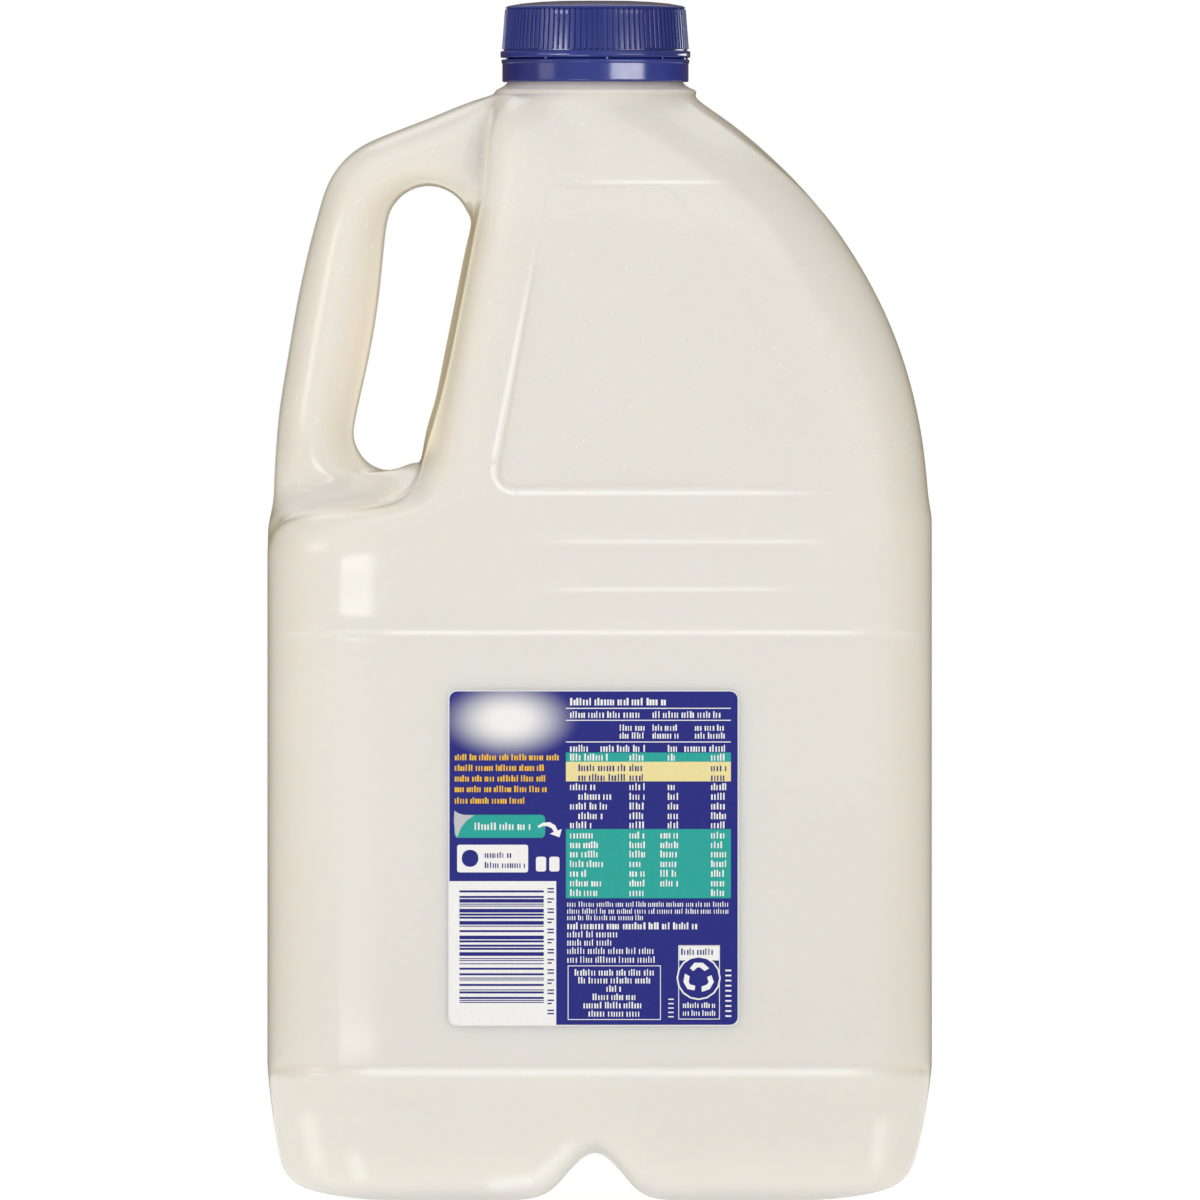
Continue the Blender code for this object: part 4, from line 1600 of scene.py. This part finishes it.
@dataclass
class Label:
    """One printed label: film, blue field, panels, rules and lines of strokes.

    Places on it are in millimetres from its top left corner, v downward. The lines of strokes
    stand for print without any letters.
    """

    side: int
    node: str
    width: float = 63.0
    height: float = 72.8
    centre_x: float = -1.3
    centre_z: float = 74.5
    inner: float = 56.3
    film: float = 0.4
    corner: float = 1.9
    border: float = 0.22
    overlap: float = 0.05
    ink_step: float = 0.02
    glow: Flat = (13.0, 6.4)
    badge: Flat = (54.3, 62.4)
    curl: tuple[Flat, ...] = (
        (1.3, 26.1), (2.2, 26.7), (3.4, 27.0), (5.6, 27.1), (3.9, 28.3), (2.7, 29.9), (1.9, 32.0),
        (1.5, 31.0), (1.2, 28.6))
    arrow: tuple[Flat, ...] = (
        (19.4, 29.4), (20.6, 28.7), (22.0, 28.6), (23.2, 29.3), (23.7, 30.4), (24.6, 30.1), (24.1, 31.9),
        (22.0, 31.1), (22.9, 30.7), (22.4, 29.9), (21.6, 29.5), (20.6, 29.4), (19.5, 29.9))
    bar_panel: tuple[Flat, ...] = (
        (0.22, 41.4), (23.4, 41.4), (23.4, 72.58), (2.0, 72.58), (1.3, 72.45), (0.72, 72.08),
        (0.36, 71.5), (0.22, 70.9))
    chevron: tuple[Flat, ...] = (
        (2.1, -1.9), (3.3, -0.9), (3.3, 0.9), (2.1, 2.3), (1.5, 1.3), (2.3, 0.3), (2.3, -0.3),
        (1.5, -1.1))
    table_rows: tuple[Point, ...] = (
        (12.6, 26.4, 30.6), (14.5, 26.4, 34.7), (16.8, 28.2, 38.4), (18.9, 28.2, 38.4),
        (20.9, 26.4, 32.2), (23.0, 28.2, 35.4), (25.1, 26.4, 34.8), (27.2, 28.2, 33.7),
        (29.2, 26.4, 31.1), (31.4, 26.4, 31.5), (33.5, 26.4, 33.1), (35.5, 26.4, 33.0),
        (37.6, 26.4, 33.9), (39.7, 26.4, 30.1), (41.8, 26.4, 33.8), (43.9, 26.4, 32.8))
    dice: random.Random = field(default_factory=lambda: random.Random(7))
    shapes: dict[Ink, list[tuple[Sequence[Flat], float]]] = field(default_factory=dict)

    def place(self, u: float, v: float) -> Flat:
        """X and Z in millimetres of a place on the label, so that it reads well from its side."""
        across = u - self.width / 2
        return (self.centre_x - self.side * across, self.centre_z + self.height / 2 - v)

    @staticmethod
    def round_box(box: Box, radius: float) -> list[Flat]:
        """The corners of a box, each as five points of a quarter circle.

        Args:
            box: Its left, top, right and bottom.
            radius: The corners' radius.

        Returns:
            The points in order.
        """
        left, top, right, bottom = box[0] + radius, box[1] + radius, box[2] - radius, box[3] - radius
        points = []
        for k, (u, v) in enumerate(((right, bottom), (left, bottom), (left, top), (right, top))):
            for step in range(5):
                turn = math.radians(90 * k + 22.5 * step)
                points.append((u + radius * math.cos(turn), v + radius * math.sin(turn)))
        return points

    def add(self, ink: Ink, points: Sequence[Flat], layer: int = 1) -> None:
        """Keeps one flat shape for later.

        Args:
            ink: Its colour.
            points: Its corners on the label, in order.
            layer: How many inks lie under it.
        """
        self.shapes.setdefault(ink, []).append((points, layer * self.ink_step))

    def box(self, ink: Ink, box: Box, layer: int = 1) -> None:
        """Keeps one upright rectangle."""
        left, top, right, bottom = box
        self.add(ink, [(left, top), (right, top), (right, bottom), (left, bottom)], layer)

    def rounded(self, ink: Ink, box: Box, radius: float, layer: int = 1) -> None:
        """Keeps one rectangle with rounded corners."""
        self.add(ink, self.round_box(box, radius), layer)

    def frame_line(self, box: Box, line: float = 0.16) -> None:
        """Keeps the four thin sides of an outlined white box.

        Args:
            box: Its left, top, right and bottom.
            line: How thick the sides are.
        """
        left, top, right, bottom = box
        for side in ((left, top, right, top + line), (left, bottom - line, right, bottom),
                     (left, top + line, left + line, bottom - line),
                     (right - line, top + line, right, bottom - line)):
            self.box(Ink.WHITE, side)

    def write(self, left: float, right: float, middle: float, tall: float, ink: Ink = Ink.WHITE,
              heavy: float = 0.5, layer: int = 1) -> None:
        """Fills a line with groups of upright strokes of a few heights.

        Args:
            left: Where it starts.
            right: Where it ends at the latest.
            middle: How far down it runs.
            tall: The tallest stroke's height.
            ink: Its colour.
            heavy: How much of its pitch a stroke fills.
            layer: How many inks lie under it.
        """
        pitch = 0.42 * tall
        at = left
        while at < right - 0.4 * pitch:
            for _ in range(self.dice.randint(3, 8)):
                wide = pitch * heavy * self.dice.uniform(0.75, 1.2)
                if at + wide > right:
                    break
                low = middle + tall / 2
                high = low - tall * self.dice.choice((1.0, 0.78, 0.78, 0.74))
                self.box(ink, (at, high, at + wide, low), layer)
                at += pitch * self.dice.uniform(0.85, 1.15)
            at += 0.75 * pitch

    def left_column(self) -> None:
        """The left side: five yellow lines, a teal tab and a small white box."""
        for v, right in ((14.5, 24.1), (16.8, 21.2), (19.1, 21.9), (21.4, 21.6), (23.9, 16.9)):
            self.write(1.4, right, v, 1.35, Ink.YELLOW, 0.6)
        self.rounded(Ink.TEAL, (1.3, 27.0, 21.0, 32.0), 0.9)
        self.add(Ink.SILVER, self.curl, 2)
        self.write(5.7, 18.2, 29.5, 1.6, heavy=0.55, layer=2)
        self.add(Ink.WHITE, self.arrow, 2)
        self.rounded(Ink.WHITE, (1.9, 33.5, 17.3, 39.5), 0.5)
        self.rounded(Ink.BLUE, (2.9, 34.6, 6.5, 38.3), 1.7, 2)
        for v, right in ((35.7, 14.0), (37.9, 16.7)):
            self.write(7.9, right, v, 1.3, Ink.BLUE, layer=2)
        for left in (19.0, 21.9):
            self.rounded(Ink.WHITE, (left, 36.1, left + 2.2, 39.3), 0.5)

    def bars(self) -> None:
        """The white panel at the lower left with its bars and small marks."""
        self.add(Ink.WHITE, self.bar_panel)
        v, end = 43.4, 68.4
        while v < end - 0.4:
            bar = self.dice.choice((0.2, 0.2, 0.45, 0.45, 0.8))
            self.box(Ink.BLUE, (2.4, v, 20.7, min(v + bar, end)), 2)
            v += bar + self.dice.choice((0.22, 0.22, 0.5, 0.75))
        for k in range(13):
            high = 70.5 - 2.2 * k
            self.box(Ink.BLUE, (21.5, high - 1.2, 22.9, high - 0.9), 2)
            self.box(Ink.BLUE, (21.5, high - 0.5, 22.9 - 0.5 * (k % 2), high - 0.2), 2)

    def table(self) -> None:
        """The right side: headings, ruled rows and two coloured blocks."""
        left, right = 25.5, 61.3
        first_row, cream, lower_rows = 13.0, (15.5, 19.75), 30.0
        self.write(26.4, 47.3, 2.45, 1.6, heavy=0.62)
        for v in (3.9, 6.5, 11.2):
            self.box(Ink.WHITE, (left, v - 0.1, right, v + 0.1))
        self.write(26.4, 42.0, 5.25, 1.45)
        self.write(44.3, 59.2, 5.25, 1.45)
        for v in (8.1, 9.8):
            for start, end in ((37.2, 42.7), (44.3, 50.0), (53.5, 60.3)):
                self.write(start, end, v, 1.35)
        self.box(Ink.TEAL, (left, 13.5, right, cream[0]))
        self.box(Ink.CREAM, (left, cream[0], right, cream[1]))
        self.box(Ink.TEAL, (left, 30.1, right, 45.1))
        for v, start, end in self.table_rows:
            on_cream = cream[0] < v < cream[1]
            ink = Ink.BLUE if on_cream else Ink.WHITE
            spans = [(start, end), (39.3 if v > first_row else 33.0, 42.7)]
            if not on_cream and v < 43.0:
                spans.append((46.0 if v > lower_rows else 47.6, 50.0))
            spans.append((57.0 if v > first_row else 51.2, 60.3))
            for span in spans:
                self.write(*span, v, 1.5, ink, layer=2)

    def small_print(self) -> None:
        """The foot of the right side: lines, an outlined box and marks up the edge."""
        for v, right, tall in ((46.4, 61.3, 1.15), (47.9, 61.3, 1.15), (49.3, 42.5, 1.15),
                               (51.1, 54.3, 1.5), (52.9, 37.3, 1.4), (54.7, 35.8, 1.4),
                               (56.5, 45.0, 1.4), (58.4, 45.1, 1.4)):
            self.write(25.8, right, v, tall, heavy=0.6 if tall == 1.5 else 0.42)
        self.frame_line((25.9, 59.7, 46.1, 71.5))
        for v, left, right in ((61.2, 27.4, 44.7), (62.9, 28.2, 43.9), (64.7, 34.3, 37.7),
                               (66.5, 31.3, 40.9), (68.3, 29.3, 42.9), (70.1, 30.4, 41.7)):
            self.write(left, right, v, 1.4)
        for k in range(5):
            self.box(Ink.WHITE, (47.7, 66.9 + 0.95 * k, 48.9, 67.15 + 0.95 * k))
        for k in range(10):
            self.box(Ink.WHITE, (60.1, 60.6 + 1.1 * k, 61.4, 60.95 + 1.1 * k))

    def recycling_badge(self) -> None:
        """The framed box with a ring of three arrows."""
        self.frame_line((49.9, 55.3, 58.9, 71.4))
        self.box(Ink.WHITE, (50.1, 55.4, 58.7, 58.6))
        self.write(50.5, 58.3, 56.7, 1.4, Ink.BLUE, layer=2)
        for v in (68.3, 70.0):
            self.write(50.9, 58.1, v, 1.2)
        u, v = self.badge
        for ink, radius, layer in ((Ink.WHITE, 4.8, 3), (Ink.BLUE, 4.45, 4)):
            self.rounded(ink, (u - radius, v - radius, u + radius, v + radius), radius - 0.01, layer)
        for k in range(3):
            turn = math.radians(120 * k - 90)
            cos, sin = math.cos(turn), math.sin(turn)
            turned = [(u + a * cos - b * sin, v + a * sin + b * cos) for a, b in self.chevron]
            self.add(Ink.WHITE, turned, 5)

    def slab(self, name: str, margin: float, near: float, far: float) -> Thing:
        """Extrudes the label's own rounded outline.

        Args:
            name: The piece's name.
            margin: How far the outline is set in.
            near: Where its back lies, in millimetres from the parting plane.
            far: Where its face lies.

        Returns:
            The piece.
        """
        box = (margin, margin, self.width - margin, self.height - margin)
        points = [self.place(u, v) for u, v in self.round_box(box, self.corner - margin)]
        Bench.clear()
        bpy.ops.mesh.primitive_circle_add(vertices=len(points), radius=1.0, fill_type="NGON")
        piece = Bench.fresh(name)
        for point, (x, z) in zip(piece.data.vertices, points):
            point.co = (x * MM, self.side * near * MM, z * MM)
        with Bench.editing(piece):
            bpy.ops.mesh.select_all(action="SELECT")
            bpy.ops.mesh.extrude_region_move(
                TRANSFORM_OT_translate={"value": (0.0, self.side * (far - near) * MM, 0.0)})
            Bench.face_outward()
        return piece

    def ink_mesh(self, ink: Ink, shapes: list[tuple[Sequence[Flat], float]]) -> Thing:
        """All the shapes of one ink as thin raised prints in one mesh.

        Args:
            ink: The ink.
            shapes: Each shape's corners and how far it stands out.

        Returns:
            The finished piece.
        """
        face = self.inner + self.film + self.ink_step
        mesh = bmesh.new()
        for points, lift in shapes:
            ring = [self.place(u, v) for u, v in points]
            back, front = ([mesh.verts.new((x * MM, self.side * depth * MM, z * MM)) for x, z in ring]
                           for depth in (face - self.ink_step / 2, face + lift))
            mesh.faces.new(front)
            mesh.faces.new(back[::-1])
            for k in range(len(ring)):
                following = (k + 1) % len(ring)
                mesh.faces.new((back[k], back[following], front[following], front[k]))
        bmesh.ops.recalc_face_normals(mesh, faces=mesh.faces)
        name = f"ink_{ink.name.lower()}_{self.node}"
        data = bpy.data.meshes.new(name)
        mesh.to_mesh(data)
        mesh.free()
        piece = bpy.data.objects.new(name, data)
        bpy.context.scene.collection.objects.link(piece)
        return piece

    def build(self, inks: dict[Ink, Finish]) -> None:
        """Models the film, its blue field and every ink on it.

        Args:
            inks: A material for each ink.
        """
        face = self.inner + self.film
        film = self.slab(f"film_{self.node}", 0.0, self.inner, face)
        Bench.smooth(film, 40.0)
        Bench.hand_over(film, inks[Ink.WHITE], self.node, "label_print")
        name = f"field_{self.node}"
        ground = self.slab(name, self.border, face - self.overlap, face + self.ink_step)
        blue = GlowingField(self.place(*self.glow)).build(name)
        Bench.hand_over(ground, blue, "", "label_print")
        for draw in (self.left_column, self.bars, self.table, self.small_print, self.recycling_badge):
            draw()
        for ink, shapes in self.shapes.items():
            Bench.hand_over(self.ink_mesh(ink, shapes), inks[ink], "", "label_print")


@dataclass
class Softbox:
    """One rectangular studio light that points at the jug."""

    name: str
    azimuth: float
    elevation: float
    distance: float
    size: Flat
    power: float
    tint: Colour = (1.0, 1.0, 1.0)
    aim: Point = (0.0, 0.0, 0.13)

    def hang(self, *lit: Thing) -> None:
        """Places the light; azimuth 0 is the camera's side and 90 is the jug's right.

        Args:
            lit: The only pieces that it lights; without them it lights everything.
        """
        turn, lift = math.radians(self.azimuth), math.radians(self.elevation)
        level = math.cos(lift)
        away = Vector((math.sin(turn) * level, -math.cos(turn) * level, math.sin(lift)))
        data = bpy.data.lights.new(self.name, "AREA")
        data.shape = "RECTANGLE"
        data.size, data.size_y = self.size
        data.energy = self.power
        data.color = self.tint
        lamp = bpy.data.objects.new(self.name, data)
        lamp.location = Vector(self.aim) + away * self.distance
        lamp.rotation_euler = (-away).to_track_quat("-Z", "Y").to_euler()
        lamp.visible_camera = False
        bpy.context.scene.collection.objects.link(lamp)
        if lit:
            group = bpy.data.collections.new(self.name)
            for piece in lit:
                group.objects.link(piece)
            lamp.light_linking.receiver_collection = group


@dataclass
class Studio:
    """Pale floor, white surroundings, softboxes and the camera.

    The surroundings light the jug from the sky above and from the front, side and back below;
    the camera sees them white. The paper's glow is for its light and for the camera.
    """

    camera_distance: float = 12.0
    camera_x: float = 0.0001
    camera_height: float = 0.1305
    frame_width: float = 0.2616
    sensor_width: float = 36.0
    floor_size: Point = (2.4, 1.2, 1.0)
    paper: tuple[Colour, Colour] = ((0.86, 0.86, 0.85), (0.90, 0.90, 0.89))
    paper_glow: Flat = (0.29, 0.62)
    white: Colour = (1.0, 1.0, 1.0)
    sky: Colour = (0.56, 0.55, 0.52)
    front: Colour = (0.65, 0.655, 0.67)
    side: Colour = (0.455, 0.35, 0.10)
    back: Colour = (0.13, 0.085, 0.0)
    sky_span: Span = ((0.02, 0.0), (0.75, 1.0))
    side_span: Span = ((-0.95, 0.0), (-0.3, 1.0))
    back_span: Span = ((-0.1, 0.0), (0.5, 1.0))

    def world(self) -> None:
        """A plain white backdrop that lights the jug brighter from above than from the side."""
        world = bpy.data.worlds.new("studio")
        bpy.context.scene.world = world
        desk = Desk(world)
        split = desk.add("ShaderNodeSeparateXYZ")
        desk.link(desk.add("ShaderNodeTexCoord").outputs["Generated"], split.inputs[0])
        height = desk.span(split.outputs["Z"], *self.sky_span)
        beside = desk.span(split.outputs["Y"], *self.side_span)
        behind = desk.span(split.outputs["Y"], *self.back_span)
        level = desk.blend(behind, desk.blend(beside, self.front, self.side), self.back)
        both = desk.add("ShaderNodeMixShader")
        desk.link(desk.add("ShaderNodeLightPath").outputs["Is Camera Ray"], both.inputs[0])
        for socket, colour in ((both.inputs[1], desk.blend(height, level, self.sky)),
                               (both.inputs[2], (*self.white, 1.0))):
            light = desk.add("ShaderNodeBackground")
            desk.feed(colour, light.inputs["Color"])
            desk.link(light.outputs[0], socket)
        desk.link(both.outputs[0], desk.add("ShaderNodeOutputWorld").inputs["Surface"])

    def floor_finish(self) -> Finish:
        """Pale studio paper, bright enough to run into the backdrop.

        Returns:
            The new material.
        """
        material = bpy.data.materials.new("studio_paper")
        desk = Desk(material)
        seen = desk.add("ShaderNodeLightPath").outputs["Is Camera Ray"]
        lighting, shown = self.paper_glow
        desk.plastic(
            Base_Color=desk.blend(desk.noise(desk.place(), 60.0, 4.0), *self.paper), Roughness=0.9,
            Emission_Color=(*self.white, 1.0),
            Emission_Strength=desk.span(seen, (0.0, lighting), (1.0, shown)))
        return material

    def floor(self) -> None:
        """A wide floor under the jug."""
        Bench.clear()
        bpy.ops.mesh.primitive_plane_add(size=1.0, location=(0.0, 0.0, 0.0))
        bpy.ops.transform.resize(value=self.floor_size)
        floor = Bench.fresh("studio_floor")
        floor.data.materials.append(self.floor_finish())

    def camera(self) -> None:
        """A level long-lens camera in front of the jug."""
        data = bpy.data.cameras.new("camera")
        data.sensor_width = self.sensor_width
        data.lens = self.sensor_width * self.camera_distance / self.frame_width
        data.clip_end = 100.0
        camera = bpy.data.objects.new("camera", data)
        camera.location = (self.camera_x, -self.camera_distance, self.camera_height)
        camera.rotation_euler = (math.radians(90.0), 0.0, 0.0)
        bpy.context.scene.collection.objects.link(camera)
        bpy.context.scene.camera = camera

    def build(self) -> None:
        """Sets up everything that isn't the jug."""
        bpy.context.scene.view_settings.view_transform = "Standard"
        self.world()
        self.floor()
        self.camera()
        for box in (Softbox("box_right", 34.0, 24.0, 1.6, (1.6, 1.4), 3.15),
                    Softbox("box_low", -20.0, -10.9, 1.3, (0.55, 0.28), 2.1),
                    Softbox("box_left", -60.0, 46.0, 1.4, (0.9, 0.9), 0.8),
                    Softbox("box_strip", -62.0, 9.0, 0.9, (0.34, 0.24), 0.6, aim=(-0.03, 0.0, 0.197)),
                    Softbox("box_above", 0.0, 72.0, 1.5, (1.5, 1.0), 3.2),
                    Softbox("box_behind", 180.0, 48.0, 1.6, (1.2, 0.8), 2.2, (1.0, 0.985, 0.96))):
            box.hang()

    def light_closure(self, cap: Thing, band: Thing) -> None:
        """Sets up the narrow cards whose reflections show on the cap and the band.

        Args:
            cap: The finished cap.
            band: The finished band.
        """
        over = on_axis(250.0)
        for card, lit in ((Softbox("card_right", 40.0, 0.0, 0.5, (0.38, 0.07), 1.1, aim=over), band),
                          (Softbox("card_ribs", 44.0, 1.0, 0.5, (0.30, 0.06), 0.35, aim=over), cap),
                          (Softbox("card_left", -43.0, 1.0, 0.5, (0.18, 0.06), 0.5, aim=over), cap),
                          (Softbox("card_rear", 132.0, 1.0, 0.5, (0.20, 0.06), 0.3, aim=over), cap)):
            card.hang(lit)


def main() -> None:
    """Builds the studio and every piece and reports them."""
    logging.basicConfig(level=logging.INFO, format="%(name)s %(message)s")
    studio = Studio()
    studio.build()
    Jug().build(MilkyPlastic().build())
    blue = ClosurePlastic().build()
    lathe = Lathe()
    studio.light_closure(Cap(lathe).build(blue), TamperBand(lathe).build(blue))
    inks = {ink: PrintedFilm(ink).build() for ink in Ink}
    Label(-1, "label_back").build(inks)
    Label(1, "label_front").build(inks)


if __name__ == "__main__":
    main()
